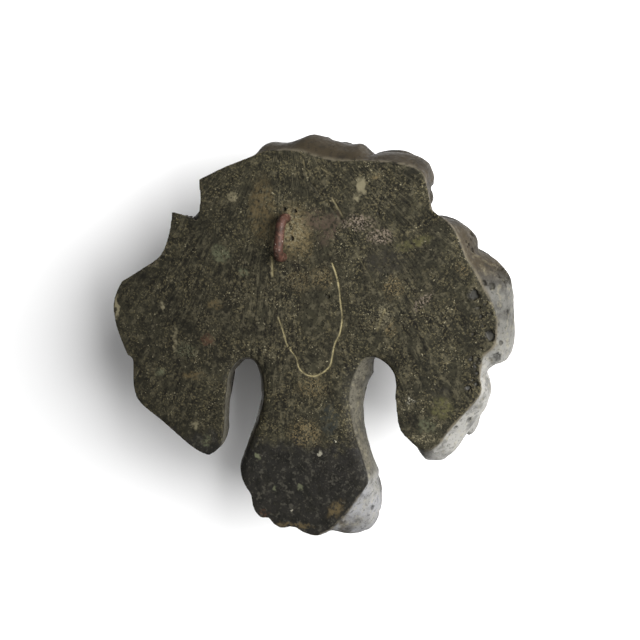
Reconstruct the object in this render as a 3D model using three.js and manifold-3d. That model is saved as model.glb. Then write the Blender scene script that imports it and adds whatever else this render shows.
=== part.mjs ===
// A lion head relief of cast stone, made to hang on a wall. The head with its mane and beard is one
// casting, poured flat at the back, and a bent iron rod set into the back is the loop it hangs by.
// Millimetres. +Z is up, the wall is the plane y = 0, the lion looks along -Y, and "depth" is the
// distance in front of the wall. The origin is in the middle of the flat back.

import * as THREE from 'three';
import { mergeVertices } from 'three/addons/utils/BufferGeometryUtils.js';
import Module from 'manifold-3d';

const wasm = await Module();
wasm.setup();

// Body: the slab under the mane, flat on the wall and fullest some way in front of it. At each depth the
// edge has moved out by a share of the outline's swell and in by a share of its lean.
const OUTLINE_STEP = 9;
const FULLEST = { depth: 25, swell: 1, lean: 0.35 };
const SLAB_PROFILE = [
  { depth: 0, swell: 0, lean: 0 },
  { depth: 5, swell: 0.4, lean: 0.05 },
  { depth: 13, swell: 0.82, lean: 0.15 },
  FULLEST,
  { depth: 35, swell: 0.75, lean: 0.65 },
  { depth: 43, swell: 0.3, lean: 1 },
];

// The edge of the flat back, in stretches that end at the notches between tufts and at sharp corners.
// A knot is [x, z, swell, lean]: where it is, how far the side bulges beyond the back there, and how far
// the front draws in.
const STRETCHES = [
  { name: 'behind the ear', knots: [[-86.5, 61, 0, 11], [-85, 70, -1, 9], [-82.6, 78.5, 0, 7]] },
  { name: 'crown tuft', knots: [[-82.6, 78.5, 2, 4], [-81, 82.5, 4.5, 4], [-77, 86, 7.5, 4],
    [-70, 88.5, 9, 4], [-60, 90.4, 9, 4], [-50, 91.5, 7, 4], [-43, 91.6, 5, 4]] },
  { name: 'forelock, short side', knots: [[-43, 91.6, 5, 4], [-38, 91.5, 11, 4], [-34, 91.2, 14, 4]] },
  { name: 'forelock', knots: [[-34, 91.2, 14, 4], [-25, 91, 14.5, 4], [-17, 92.2, 15.5, 4],
    [-10, 93.5, 16.5, 4], [-1, 96.3, 17, 4], [3, 97.5, 15, 4], [10, 98.6, 10, 4], [20, 98.5, 8.5, 4]] },
  { name: 'forelock, long side', knots: [[20, 98.5, 8.5, 4], [27, 97.9, 9.5, 4], [33, 96.5, 6, 4]] },
  { name: 'crown', knots: [[33, 96.5, 3, 6], [40, 94.2, 0, 9], [57, 88, 0, 9], [74.5, 80, 0, 9]] },
  { name: 'temple', knots: [[74.5, 80, 0, 8], [73.5, 66, 2, 8], [76, 52.5, -3, 10]] },
  { name: 'spike', knots: [[76, 52.5, -6, 10], [85, 56.5, -6, 10], [94.5, 58, -2, 6]] },
  { name: 'cheek, upper', knots: [[94.5, 58, 0, 9], [97.5, 42, 0, 9], [104, 28, 0, 9], [118, 18.5, 0, 9],
    [134, 9, 1, 9]] },
  { name: 'cheek, lower', knots: [[134, 9, 1, 6], [140, -5, 4, 6], [138.5, -22, 6, 6],
    [130.5, -43, 3, 6]] },
  { name: 'hanging lobe', knots: [[130.5, -43, 3, 8], [126, -47, 4, 8], [126, -64, 5, 8],
    [121.5, -76, 6, 8], [104, -89, 5, 8], [82, -106, 3, 8], [69.5, -111.5, 2, 8]] },
  { name: 'inside the lobe', knots: [[69.5, -111.5, 0, 12], [61, -105, -1, 12], [58, -92, -2, 12],
    [57, -72, -1, 12], [54.5, -53, 0, 12]] },
  { name: 'arch', knots: [[54.5, -53, 0, 6], [49, -43.5, 4, 6], [40, -38.5, 9, 6], [32, -41, 13, 6],
    [27, -49, 15, 8]] },
  { name: 'column', knots: [[27, -49, 15, 12], [26.5, -67, 13, 12], [30.5, -85, 12, 12],
    [38, -102, 9, 12], [46, -118, 6, 12], [46, -125, 4, 12], [38, -137, 3, 10]] },
  { name: 'curl', knots: [[38, -137, 3, 4], [36, -146.5, 5, 4], [31, -152.5, 3, 4], [25, -152, 2, 4]] },
  { name: 'curl', knots: [[25, -152, 2, 4], [20, -157.5, 5, 4], [13, -158, 4, 4], [7.5, -156, 2, 4]] },
  { name: 'curl', knots: [[7.5, -156, 2, 4], [0, -160, 5, 4], [-9, -161.5, 5, 4], [-17, -157, 5, 4]] },
  { name: 'curl', knots: [[-17, -157, 7, 3], [-20, -153.5, 17, 2], [-28, -144, 21.5, 1],
    [-38, -131, 14, 2], [-43, -125.5, 3, 4], [-45, -123, 0, 5]] },
  { name: 'column', knots: [[-45, -123, 4, 4], [-42, -111, 4, 8], [-34, -90, 7.5, 12],
    [-28.5, -71, 13, 12], [-28, -55, 17.5, 12], [-33, -43, 17, 10]] },
  { name: 'arch', knots: [[-33, -43, 17, 8], [-39, -36.5, 11, 8], [-46, -35, 6, 8], [-56, -40, 2, 8],
    [-62.5, -48, 0, 9]] },
  { name: 'inside the lobe', knots: [[-62.5, -48, 0, 10], [-64, -66, 0, 10], [-67, -84, 0, 10],
    [-76, -93, 2, 8]] },
  { name: 'tip of the lobe', knots: [[-76, -93, 3, 4], [-84, -96, 14, 4], [-92, -91.5, 14, 4]] },
  { name: 'hanging lobe', knots: [[-92, -91.5, 14, 4], [-100, -80, 13, 4], [-112, -66, 12, 5],
    [-119.5, -56, 7, 5], [-118.5, -44, 2.5, 4]] },
  { name: 'cheek, lower', knots: [[-118.5, -44, 6, 2], [-120, -32, 15, 0], [-127.5, -24, 12, 2],
    [-128.5, -8, 10, 2]] },
  { name: 'cheek, upper', knots: [[-128.5, -8, 10, 2], [-124.5, 2, 14.5, 2], [-120.5, 9, 18, 2],
    [-114.5, 20, 16, 2], [-110, 27.5, 11, 2], [-108, 31, 9, 3]] },
  { name: 'neck', knots: [[-108, 31, 8, 3], [-104.5, 40, 10, 3], [-101, 48, 6, 4], [-96.5, 54, 2, 7],
    [-92, 57, -1, 9], [-86.5, 61, -2, 11]] },
];

// Scalp: the rounded ground that the mane's inner locks lie on
const SCALP = { halfX: 92, halfZ: 62, centreZ: 23, back: 20, height: 46, columns: 20, rows: 10 };

// Locks of hair. A lock has a root and a tip, each [x, z], a bow sideways, its half-width and
// half-height, the depth of its middle at root and tip, and a rise between them.
const LOCK_SIDES = 8;
const LOCK_RINGS = 7;
const LOCK_FULLEST_EARLY = 0.8;
const LOCK_BLUNTNESS = 0.55;
const DEPTH_EASE = 1.6;

// Rings of locks round the face. from and to are shares of the way from the face's edge to the rim,
// and sweep is how many degrees a lock turns downwards between them. An angle is a tip's, in degrees
// from straight up, positive to +X.
const MANE_CENTRE = new THREE.Vector2(0, 8);
const FACE_RADIUS = { x: 54, z: 58 };
const UPRIGHT_ANGLE = 30;
const RING_BOW = 4;
const RIM_RING = { from: 0.3, to: 0.95, sweep: 13, width: 14, height: 17, root: 34, tip: 31, rise: 5 };
const RIM_ANGLES = [-109, -98, -88, -75, -54, -39, -15, -4, 12, 28, 43, 66, 88, 99, 110];
const MIDDLE_RING = { from: 0.05, to: 0.72, sweep: 22, width: 13, height: 14, root: 44, tip: 38, rise: 8 };
const MIDDLE_ANGLES = [-106, -90, -74, -58, -43, -28, -10, 8, 25, 42, 57, 73, 89, 105];
const INNER_RING = { from: -0.2, to: 0.4, sweep: 20, width: 11, height: 12, root: 52, tip: 48, rise: 7 };
const INNER_ANGLES = [-104, -82, -61, -41, -21, 0, 21, 41, 61, 82, 104];

// The locks that hang down the two lobes beside the chin
const LOBE_DEPTHS = { height: 16, root: 40, tip: 31, rise: 5 };
const LOBE_LOCKS = [
  { from: [84, -20], to: [128, -66], bow: 5, width: 14 },
  { from: [78, -30], to: [106, -88], bow: 8, width: 14 },
  { from: [70, -40], to: [76, -108], bow: 8, width: 12 },
  { from: [60, -12], to: [92, -62], bow: 8, width: 12 },
  { from: [48, -16], to: [63, -50], bow: 5, width: 10 },
  { from: [-84, -20], to: [-115, -64], bow: -5, width: 12 },
  { from: [-78, -30], to: [-108, -92], bow: -8, width: 14 },
  { from: [-74, -44], to: [-86, -106], bow: -7, width: 12 },
  { from: [-60, -12], to: [-92, -62], bow: -8, width: 12 },
  { from: [-48, -16], to: [-66, -50], bow: -5, width: 10 },
];

// Beard: locks down the column, from the chin to the curls at the bottom edge
const BEARD_LOCKS = [
  { from: [0, -67], to: [-8, -167], bow: 4, width: 14, height: 17, root: 60, tip: 26, rise: 4 },
  { from: [10, -67], to: [18, -159], bow: 4, width: 11, height: 15, root: 56, tip: 24, rise: 4 },
  { from: [-10, -67], to: [-35, -159], bow: 2, width: 13, height: 16, root: 54, tip: 26, rise: 4 },
  { from: [15, -64], to: [34, -151], bow: -3, width: 11, height: 15, root: 46, tip: 22, rise: 3 },
  { from: [18, -60], to: [46, -126], bow: -6, width: 9, height: 15, root: 36, tip: 18, rise: 0 },
  { from: [-17, -60], to: [-43, -122], bow: 7, width: 7, height: 15, root: 36, tip: 18, rise: 0 },
  { from: [-19, -109], to: [-46, -149], bow: -3, width: 9, height: 13, root: 36, tip: 28, rise: 0 },
];

// Face, symmetrical about x = 0. It is an oval above, drawn in to the jaw between the two arches.
const FACE = { columns: 24, rows: 32, top: 62, bottom: -80, back: 20, edgeDepth: 30, edgeShare: 0.24 };
const FACE_OVAL = { halfWidth: 63, halfHeight: 65 };
const JAW = { halfWidth: 30, from: 14, to: 44, chinNarrowing: 5, chinFrom: 50, chinTo: 80 };

// The face's parts. A mound stands on a base depth and blends into what is under it; a swelling is
// added, and one with a negative height is a hollow.
const SKULL = { at: [0, 10], half: [68, 84], base: 36, height: 34 };
const FOREHEAD_BOSS = { at: [15, 46], half: [12, 14], height: 4 };
const FOREHEAD_FURROW = { at: [0, 44], half: [5, 20], height: -3 };
const CHEEK = { at: [39, -8], half: [27, 33], base: 44, height: 20, blend: 8 };
const BROW = { from: 8, to: 68, z: 26, arch: 9, height: 9, halfZ: 6.5, fadeIn: [3, 14], fadeOut: [38, 54] };
const EYE_SOCKET = { at: [26, 18], half: [13, 9], height: -10 };
const EYEBALL = { at: [27, 18], half: [11.5, 9.5], base: 54, height: 10, blend: 1.5 };
const NOSE = {
  topZ: 34, tipZ: -14, topDepth: 74, tipDepth: 99, topHalf: 13, tipHalf: 18, roundness: 13,
  flatness: 3.2, profile: 1.3, underDrop: 15, underLength: 20, underCurve: 1.6, blend: 5,
};
const NOSTRIL_WING = { at: [11, -20], half: [9, 9], base: 80, height: 15, blend: 3 };
const NOSTRIL = { at: [8.5, -25], half: [4, 3.2], height: -8 };
const WHISKER_PAD = { at: [15, -40], half: [19, 16], base: 58, height: 35, blend: 4 };
const LIP_CLEFT = { at: [0, -40], half: [2.5, 9], height: -3 };
const CHIN = { at: [0, -65], half: [22, 16], base: 52, height: 31, blend: 4 };
const MOUTH = { z: -50, droop: 8, halfWidth: 29, fade: [24, 32], depth: 9, halfZ: 3.5 };

// Ears
const EAR = { x: 60, z: 48, depth: 58, radius: 16, tall: 1.15, thickness: 12, tilt: 40, hollow: 13,
  rim: 0.75, columns: 12, rows: 8 };

// Hanging loop
const ROD_RADIUS = 3.5;
const LOOP = { x: 13, top: 54.5, bottom: 28.5, standOff: 10.5, bend: 7, sunk: 12, tiltX: 1.4, steps: 18 };
const SOCKET_CLEARANCE = 0.3;
const MOUTH_OVERCUT = 1;

const WALL = { size: 400, thickness: 100 };

const radians = THREE.MathUtils.degToRad;
const clamp = THREE.MathUtils.clamp;
const mix = THREE.MathUtils.lerp;
const smoothstep = THREE.MathUtils.smoothstep;

// A closed geometry as a solid.
function solidOf(geometry) {
  geometry.deleteAttribute('normal');
  geometry.deleteAttribute('uv');
  const merged = mergeVertices(geometry, 1e-3);
  return new wasm.Manifold(new wasm.Mesh({
    numProp: 3,
    vertProperties: merged.attributes.position.array,
    triVerts: new Uint32Array(merged.index.array),
  }));
}

// A solid as a geometry.
function geometryOf(solid) {
  const mesh = solid.getMesh();
  const geometry = new THREE.BufferGeometry();
  geometry.setAttribute('position', new THREE.BufferAttribute(mesh.vertProperties, mesh.numProp));
  geometry.setIndex(new THREE.BufferAttribute(mesh.triVerts, 1));
  const flat = geometry.toNonIndexed();
  flat.computeVertexNormals();
  return flat;
}

// Moves every vertex of a geometry by a function of its place.
function moveVertices(geometry, place) {
  const position = geometry.attributes.position;
  const vertex = new THREE.Vector3();
  for (let i = 0; i < position.count; i += 1) {
    vertex.fromBufferAttribute(position, i);
    place(vertex);
    position.setXYZ(i, vertex.x, vertex.y, vertex.z);
  }
  return geometry;
}

// The back's edge as points, each with its swell and lean.
function outlinePoints() {
  const points = [];
  for (const { knots } of STRETCHES) {
    const path = new THREE.SplineCurve(knots.map(([x, z]) => new THREE.Vector2(x, z)));
    const sides = new THREE.SplineCurve(knots.map(([, , swell, lean]) => new THREE.Vector2(swell, lean)));
    const steps = Math.max(2, Math.round(path.getLength() / OUTLINE_STEP));
    for (let i = 0; i < steps; i += 1) {
      const t = path.getUtoTmapping(i / steps);
      const side = sides.getPoint(t);
      points.push({ point: path.getPoint(t), swell: side.x, lean: side.y });
    }
  }
  return points;
}

const OUTLINE = outlinePoints();
const AREA_SIGN = Math.sign(THREE.ShapeUtils.area(OUTLINE.map(({ point }) => point)));

// The outward direction at an outline point.
function outward(index) {
  const count = OUTLINE.length;
  const before = OUTLINE[(index + count - 1) % count].point;
  const after = OUTLINE[(index + 1) % count].point;
  const along = after.clone().sub(before).normalize();
  return new THREE.Vector2(along.y, -along.x).multiplyScalar(AREA_SIGN);
}

// An outline point moved out by its shares of swell and lean.
function edgeAt(index, profile) {
  const { point, swell, lean } = OUTLINE[index];
  return point.clone().addScaledVector(outward(index), swell * profile.swell - lean * profile.lean);
}

// The body under the mane: the outline extruded, then each level's edge moved out or in.
function slab() {
  const levels = SLAB_PROFILE.length - 1;
  const shape = new THREE.Shape(OUTLINE.map(({ point }) => point));
  const geometry = new THREE.ExtrudeGeometry(shape, { depth: levels, steps: levels, bevelEnabled: false });
  const key = (x, z) => `${x.toFixed(3)} ${z.toFixed(3)}`;
  const indices = new Map(OUTLINE.map(({ point }, i) => [key(point.x, point.y), i]));
  return moveVertices(geometry, (vertex) => {
    const profile = SLAB_PROFILE[Math.round(vertex.z)];
    const place = edgeAt(indices.get(key(vertex.x, vertex.y)), profile);
    vertex.set(place.x, -profile.depth, place.y);
  });
}

function scalp() {
  const { halfX, halfZ, centreZ, back, height, columns, rows } = SCALP;
  const geometry = new THREE.SphereGeometry(1, columns, rows);
  return geometry.scale(halfX, height, halfZ).translate(0, -back, centreZ);
}

const RIM = OUTLINE.map((_, i) => edgeAt(i, FULLEST));

// How far the rim is from the mane's centre in a direction.
function rimRadius(angle) {
  const direction = new THREE.Vector2(Math.sin(angle), Math.cos(angle));
  let farthest = 0;
  RIM.forEach((point, i) => {
    const a = point.clone().sub(MANE_CENTRE);
    const b = RIM[(i + 1) % RIM.length].clone().sub(MANE_CENTRE);
    const sideA = direction.cross(a);
    const sideB = direction.cross(b);
    if (sideA * sideB <= 0 && sideA !== sideB) {
      const hit = a.clone().lerp(b, sideA / (sideA - sideB));
      farthest = Math.max(farthest, hit.dot(direction));
    }
  });
  return farthest;
}

function faceRadius(angle) {
  return 1 / Math.hypot(Math.sin(angle) / FACE_RADIUS.x, Math.cos(angle) / FACE_RADIUS.z);
}

// A tapered lock of hair round a curve: widest in its first half, narrow and rounded at the tip.
function lockGeometry(curve, width, height) {
  const geometry = new THREE.SphereGeometry(1, LOCK_SIDES, LOCK_RINGS);
  const out = new THREE.Vector3(0, -1, 0);
  return moveVertices(geometry, (vertex) => {
    const t = Math.acos(clamp(vertex.y, -1, 1)) / Math.PI;
    const ring = Math.hypot(vertex.x, vertex.z) || 1;
    const tangent = curve.getTangent(t);
    const side = new THREE.Vector3().crossVectors(out, tangent).normalize();
    const up = new THREE.Vector3().crossVectors(tangent, side).normalize();
    const swollen = Math.max(0, Math.sin(Math.PI * t ** LOCK_FULLEST_EARLY));
    const fullness = swollen ** LOCK_BLUNTNESS;
    const centre = curve.getPoint(t);
    centre.addScaledVector(side, width * fullness * vertex.x / ring);
    centre.addScaledVector(up, height * fullness * vertex.z / ring);
    vertex.copy(centre);
  });
}

// A lock's curve from its root to its tip.
function lockCurve({ from, to, bow, root, tip, rise }) {
  const start = new THREE.Vector2(...from);
  const end = new THREE.Vector2(...to);
  const across = end.clone().sub(start).rotateAround(new THREE.Vector2(), Math.PI / 2).normalize();
  const points = [0, 0.25, 0.5, 0.75, 1].map((t) => {
    const place = start.clone().lerp(end, t).addScaledVector(across, bow * Math.sin(Math.PI * t));
    const depth = mix(root, tip, t ** DEPTH_EASE) + rise * Math.sin(Math.PI * t);
    return new THREE.Vector3(place.x, -depth, place.y);
  });
  return new THREE.CatmullRomCurve3(points);
}

function lock(shape) {
  return lockGeometry(lockCurve(shape), shape.width, shape.height);
}

// A place round the mane's centre: share 0 is on the face's edge, 1 on the rim.
function roundMane(angle, share) {
  const radius = mix(faceRadius(angle), rimRadius(angle), share);
  return [MANE_CENTRE.x + radius * Math.sin(angle), MANE_CENTRE.y + radius * Math.cos(angle)];
}

// The locks of a ring. Those near the top of the head stand upright, the others sweep down.
function ringLocks(ring, angles) {
  return angles.map((degrees) => {
    const sweep = ring.sweep * clamp(degrees / UPRIGHT_ANGLE, -1, 1);
    const from = roundMane(radians(degrees - sweep), ring.from);
    const to = roundMane(radians(degrees), ring.to);
    return lock({ ...ring, from, to, bow: RING_BOW * Math.sign(degrees) });
  });
}

// A swelling's or hollow's depth at a place, fading out over its half-widths.
function swelling(x, z, { at, half, height }) {
  return height * Math.exp(-(((x - at[0]) / half[0]) ** 2) - ((z - at[1]) / half[1]) ** 2);
}

// The depth of a mound at a place, falling away outside its outline.
function mound(x, z, { at, half, base, height }) {
  const q = ((x - at[0]) / half[0]) ** 2 + ((z - at[1]) / half[1]) ** 2;
  return q < 1 ? base + height * Math.sqrt(1 - q) : base - height * (q - 1);
}

function smoothMax(a, b, reach) {
  const share = clamp(0.5 + 0.5 * (a - b) / reach, 0, 1);
  return mix(b, a, share) + reach * share * (1 - share);
}

// A depth with a mound blended in.
function withMound(depth, x, z, shape) {
  return smoothMax(depth, mound(x, z, shape), shape.blend);
}

function brow(x, z) {
  const along = clamp((x - BROW.from) / (BROW.to - BROW.from), 0, 1);
  const ridgeZ = BROW.z + BROW.arch * Math.sin(Math.PI * along);
  const reach = smoothstep(x, ...BROW.fadeIn) * (1 - smoothstep(x, ...BROW.fadeOut));
  return BROW.height * reach * Math.exp(-(((z - ridgeZ) / BROW.halfZ) ** 2));
}

// The nose from its root between the brows to its tip, and the slope under the tip.
function nose(x, z) {
  const down = clamp((NOSE.topZ - z) / (NOSE.topZ - NOSE.tipZ), 0, 1);
  const under = clamp((NOSE.tipZ - z) / NOSE.underLength, 0, 2);
  const crest = mix(NOSE.topDepth, NOSE.tipDepth, down ** NOSE.profile)
    - NOSE.underDrop * under ** NOSE.underCurve;
  return crest - NOSE.roundness * (x / mix(NOSE.topHalf, NOSE.tipHalf, down)) ** NOSE.flatness;
}

function mouth(x, z) {
  const lineZ = MOUTH.z - MOUTH.droop * Math.sin(Math.PI * clamp(x / MOUTH.halfWidth, 0, 1));
  return MOUTH.depth * (1 - smoothstep(x, ...MOUTH.fade)) * Math.exp(-(((z - lineZ) / MOUTH.halfZ) ** 2));
}

// The depth of the face's surface.
function faceDepth(signedX, z) {
  const x = Math.abs(signedX);
  let depth = mound(x, z, SKULL);
  depth += swelling(x, z, FOREHEAD_BOSS) + swelling(x, z, FOREHEAD_FURROW);
  depth = withMound(depth, x, z, CHEEK);
  depth += brow(x, z) + swelling(x, z, EYE_SOCKET);
  depth = withMound(depth, x, z, EYEBALL);
  depth = smoothMax(depth, nose(x, z), NOSE.blend);
  depth = withMound(depth, x, z, NOSTRIL_WING) + swelling(x, z, NOSTRIL);
  depth = withMound(depth, x, z, WHISKER_PAD) + swelling(x, z, LIP_CLEFT);
  depth = withMound(depth, x, z, CHIN);
  return Math.max(FACE.edgeDepth, depth - mouth(x, z));
}

// Half the face's width at a height.
function faceHalfWidth(z) {
  const { halfWidth, halfHeight } = FACE_OVAL;
  if (z > 0) {
    return halfWidth * Math.sqrt(1 - (z / halfHeight) ** 2);
  }
  const jaw = mix(halfWidth, JAW.halfWidth, smoothstep(-z, JAW.from, JAW.to));
  return jaw - JAW.chinNarrowing * smoothstep(-z, JAW.chinFrom, JAW.chinTo);
}

// The face: a closed box whose front is shaped to the face, and whose back lies inside the body.
function face() {
  const geometry = new THREE.BoxGeometry(2, 1, 1, FACE.columns, 1, FACE.rows);
  return moveVertices(geometry, (vertex) => {
    const z = mix(FACE.bottom, FACE.top, vertex.z + 0.5);
    const x = vertex.x * faceHalfWidth(z);
    const fromEdge = Math.min(1 - Math.abs(vertex.x), 1 - 2 * Math.abs(vertex.z));
    const front = mix(FACE.edgeDepth, faceDepth(x, z), smoothstep(fromEdge, 0, FACE.edgeShare));
    vertex.set(x, vertex.y < 0 ? -front : -FACE.back, z);
  });
}

// A rounded ear with a hollow front, standing out of the mane.
function ear(side) {
  const geometry = new THREE.SphereGeometry(1, EAR.columns, EAR.rows);
  moveVertices(geometry, (vertex) => {
    const inward = clamp(1 - Math.hypot(vertex.x, vertex.z) / EAR.rim, 0, 1);
    const hollow = vertex.y < 0 ? EAR.hollow * smoothstep(inward, 0, 1) : 0;
    vertex.set(vertex.x * EAR.radius, vertex.y * EAR.thickness + hollow, vertex.z * EAR.radius * EAR.tall);
  });
  geometry.rotateY(side * radians(EAR.tilt));
  return geometry.translate(side * EAR.x, -EAR.depth, EAR.z);
}

// The loop's centreline: out of the back, over and in again, a little out of upright.
function loopCurve() {
  const { x, top, bottom, standOff, bend, sunk, tiltX } = LOOP;
  const middle = (top + bottom) / 2;
  const at = (depth, z) => new THREE.Vector3(x - tiltX * (z - middle) / (top - middle), -depth, z);
  const outer = -standOff;
  const inner = bend - standOff;
  const path = new THREE.CurvePath();
  path.add(new THREE.LineCurve3(at(sunk, bottom), at(inner, bottom)));
  path.add(new THREE.QuadraticBezierCurve3(at(inner, bottom), at(outer, bottom), at(outer, bottom + bend)));
  path.add(new THREE.LineCurve3(at(outer, bottom + bend), at(outer, top - bend)));
  path.add(new THREE.QuadraticBezierCurve3(at(outer, top - bend), at(outer, top), at(inner, top)));
  path.add(new THREE.LineCurve3(at(inner, top), at(sunk, top)));
  return path;
}

function hangingLoop() {
  const section = new THREE.Shape().absarc(0, 0, ROD_RADIUS, 0, 2 * Math.PI);
  return new THREE.ExtrudeGeometry(section, {
    curveSegments: 5, steps: LOOP.steps, extrudePath: loopCurve(),
  });
}

// A blind hole in the back for one leg of the loop.
function socket(x, z) {
  const depth = LOOP.sunk + SOCKET_CLEARANCE;
  const radius = ROD_RADIUS + SOCKET_CLEARANCE;
  const geometry = new THREE.CylinderGeometry(radius, radius, depth + MOUTH_OVERCUT, 10);
  return geometry.translate(x, (MOUTH_OVERCUT - depth) / 2, z);
}

// The casting: everything joined, cut flat at the wall, with the two sockets. The stone fills the small
// voids between locks, so only the outer surface is kept.
function lionHead() {
  const parts = [
    slab(),
    scalp(),
    ...ringLocks(RIM_RING, RIM_ANGLES),
    ...LOBE_LOCKS.map((shape) => lock({ ...LOBE_DEPTHS, ...shape })),
    ...ringLocks(MIDDLE_RING, MIDDLE_ANGLES),
    ...ringLocks(INNER_RING, INNER_ANGLES),
    ...BEARD_LOCKS.map(lock),
    face(),
    ear(1),
    ear(-1),
  ];
  const wall = new THREE.BoxGeometry(WALL.size, WALL.thickness, WALL.size);
  const cuts = [
    wall.translate(0, WALL.thickness / 2, 0),
    socket(LOOP.x - LOOP.tiltX, LOOP.top),
    socket(LOOP.x + LOOP.tiltX, LOOP.bottom),
  ];
  const joined = parts.map(solidOf).reduce((sum, solid) => sum.add(solid));
  const cut = cuts.map(solidOf).reduce((rest, solid) => rest.subtract(solid), joined);
  return cut.decompose().reduce((a, b) => (a.volume() > b.volume() ? a : b));
}

function named(name, geometry, material) {
  const mesh = new THREE.Mesh(geometry, material);
  mesh.name = name;
  return mesh;
}

const castStone = new THREE.MeshStandardMaterial({ color: 0x3a3a30, roughness: 0.5, metalness: 0 });
const rustyIron = new THREE.MeshStandardMaterial({ color: 0x6a4a3c, roughness: 0.8, metalness: 0.4 });

const group = new THREE.Group();
group.add(named('lion_head', geometryOf(lionHead()), castStone));
group.add(named('hanging_loop', hangingLoop(), rustyIron));

export default group;
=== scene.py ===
"""Looks of a cast-stone lion head relief that hangs on a wall by an iron loop.

The head with its mane and beard is one casting, seen here from its flat back. Its forms are built in
millimetres from the same sizes as the solid, remeshed into one skin, worn and pitted, and then dressed as
dark patinated stone. The loop is a bent iron rod, rusted.
"""

import itertools
import logging
import math
from dataclasses import dataclass, field, replace
from enum import Enum
from functools import partial

import bmesh
import bpy
import numpy as np
from mathutils import Matrix, Vector

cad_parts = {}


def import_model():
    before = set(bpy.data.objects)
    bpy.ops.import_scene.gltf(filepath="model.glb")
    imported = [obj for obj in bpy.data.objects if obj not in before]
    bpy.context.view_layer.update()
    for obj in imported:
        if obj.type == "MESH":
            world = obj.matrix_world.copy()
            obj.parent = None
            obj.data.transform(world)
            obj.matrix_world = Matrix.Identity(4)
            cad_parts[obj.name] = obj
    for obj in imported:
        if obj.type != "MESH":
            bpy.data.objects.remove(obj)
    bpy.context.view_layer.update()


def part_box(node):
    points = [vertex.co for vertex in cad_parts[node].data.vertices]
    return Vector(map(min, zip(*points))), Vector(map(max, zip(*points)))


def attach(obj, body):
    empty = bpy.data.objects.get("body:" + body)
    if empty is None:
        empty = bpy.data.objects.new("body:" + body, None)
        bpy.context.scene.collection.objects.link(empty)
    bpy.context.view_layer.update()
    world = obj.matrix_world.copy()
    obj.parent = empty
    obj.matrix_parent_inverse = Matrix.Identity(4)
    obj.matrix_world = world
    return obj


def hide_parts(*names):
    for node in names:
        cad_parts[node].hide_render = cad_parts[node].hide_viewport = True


log = logging.getLogger("lion_head_relief")

MM = 0.001
Pair = tuple[float, float]
Triple = tuple[float, float, float]
Mesh = bpy.types.Mesh
Tree = bpy.types.NodeTree
Socket = bpy.types.NodeSocket


# --- Numbers -----------------------------------------------------------------------------------------


def smoothstep(value: np.ndarray, low: float, high: float) -> np.ndarray:
    """A smooth rise from 0 at low to 1 at high.

    Args:
        value: Where it is wanted.
        low: Where the rise starts.
        high: Where the rise ends.

    Returns:
        The rise at each value.
    """
    t = np.clip((value - low) / (high - low), 0, 1)
    return t * t * (3 - 2 * t)


def smooth_max(a: np.ndarray, b: np.ndarray, reach: float) -> np.ndarray:
    """The larger of two depths, rounded where they meet.

    Args:
        a: One depth.
        b: The other depth.
        reach: How far the rounding reaches.

    Returns:
        The joined depth.
    """
    share = np.clip(0.5 + 0.5 * (a - b) / reach, 0, 1)
    return b + (a - b) * share + reach * share * (1 - share)


def bell(value: np.ndarray, half_width: float) -> np.ndarray:
    """1 where the value is 0, fading out over a half-width."""
    return np.exp(-((value / half_width) ** 2))


def unit(rows: np.ndarray) -> np.ndarray:
    """Each row as a direction of length 1."""
    return rows / np.linalg.norm(rows, axis=1)[:, None]


def lengths_along(path: np.ndarray) -> np.ndarray:
    """How far along a path each of its points is."""
    return np.concatenate([[0], np.cumsum(np.linalg.norm(np.diff(path, axis=0), axis=1))])


def between(at: np.ndarray, known: np.ndarray, rows: np.ndarray) -> np.ndarray:
    """Rows of values, read between the known places that they belong to."""
    return np.column_stack([np.interp(at, known, column) for column in rows.T])


NOISE_CELLS = 32
NOISE_TURN = np.array(Matrix.Rotation(0.7, 3, "X") @ Matrix.Rotation(0.5, 3, "Z"))


def lumps(points: np.ndarray, size: float, seed: int) -> np.ndarray:
    """Smooth random values between -1 and 1, off the axes so that no grid shows.

    Args:
        points: Places in millimetres.
        size: How far apart the lumps are, in millimetres.
        seed: Which random draw it is.

    Returns:
        One value for each place.
    """
    grid = np.random.default_rng(seed).uniform(-1, 1, (NOISE_CELLS,) * 3)
    cell = points @ NOISE_TURN.T / size
    low = np.floor(cell).astype(int)
    t = cell - low
    t = t * t * (3 - 2 * t)
    total = np.zeros(len(points))
    for corner in itertools.product((0, 1), repeat=3):
        index = (low + corner) % NOISE_CELLS
        weight = np.prod(np.where(corner, t, 1 - t), axis=1)
        total += weight * grid[index[:, 0], index[:, 1], index[:, 2]]
    return total


def lumpiness(points: np.ndarray, layers: tuple[Triple, ...], start: float = 0) -> np.ndarray:
    """Lumps of several sizes added up.

    Args:
        points: Places in millimetres.
        layers: Each layer's height, how far apart its lumps are, and which random draw it is.
        start: What they are added to.

    Returns:
        One value for each place.
    """
    return sum((height * lumps(points, size, seed) for height, size, seed in layers), start)


def line_distance(points: np.ndarray, line: list[Pair] | np.ndarray) -> np.ndarray:
    """How far places on the back are from a line of straight stretches.

    Args:
        points: Places as x and z.
        line: The line's points.

    Returns:
        The distance of each place.
    """
    nearest = np.full(len(points), np.inf)
    for a, b in zip(np.array(line[:-1]), np.array(line[1:])):
        along = np.clip((points - a) @ (b - a) / ((b - a) @ (b - a)), 0, 1)
        nearest = np.minimum(nearest, np.linalg.norm(points - a - along[:, None] * (b - a), axis=1))
    return nearest


# --- Meshes ------------------------------------------------------------------------------------------


def coordinates(mesh: Mesh, attribute: str = "co") -> np.ndarray:
    """Every vertex's place, or its normal.

    Args:
        mesh: The mesh.
        attribute: co or normal.

    Returns:
        One row for each vertex.
    """
    values = np.empty(len(mesh.vertices) * 3, np.float32)
    mesh.vertices.foreach_get(attribute, values)
    return values.reshape(-1, 3).astype(float)


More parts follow.
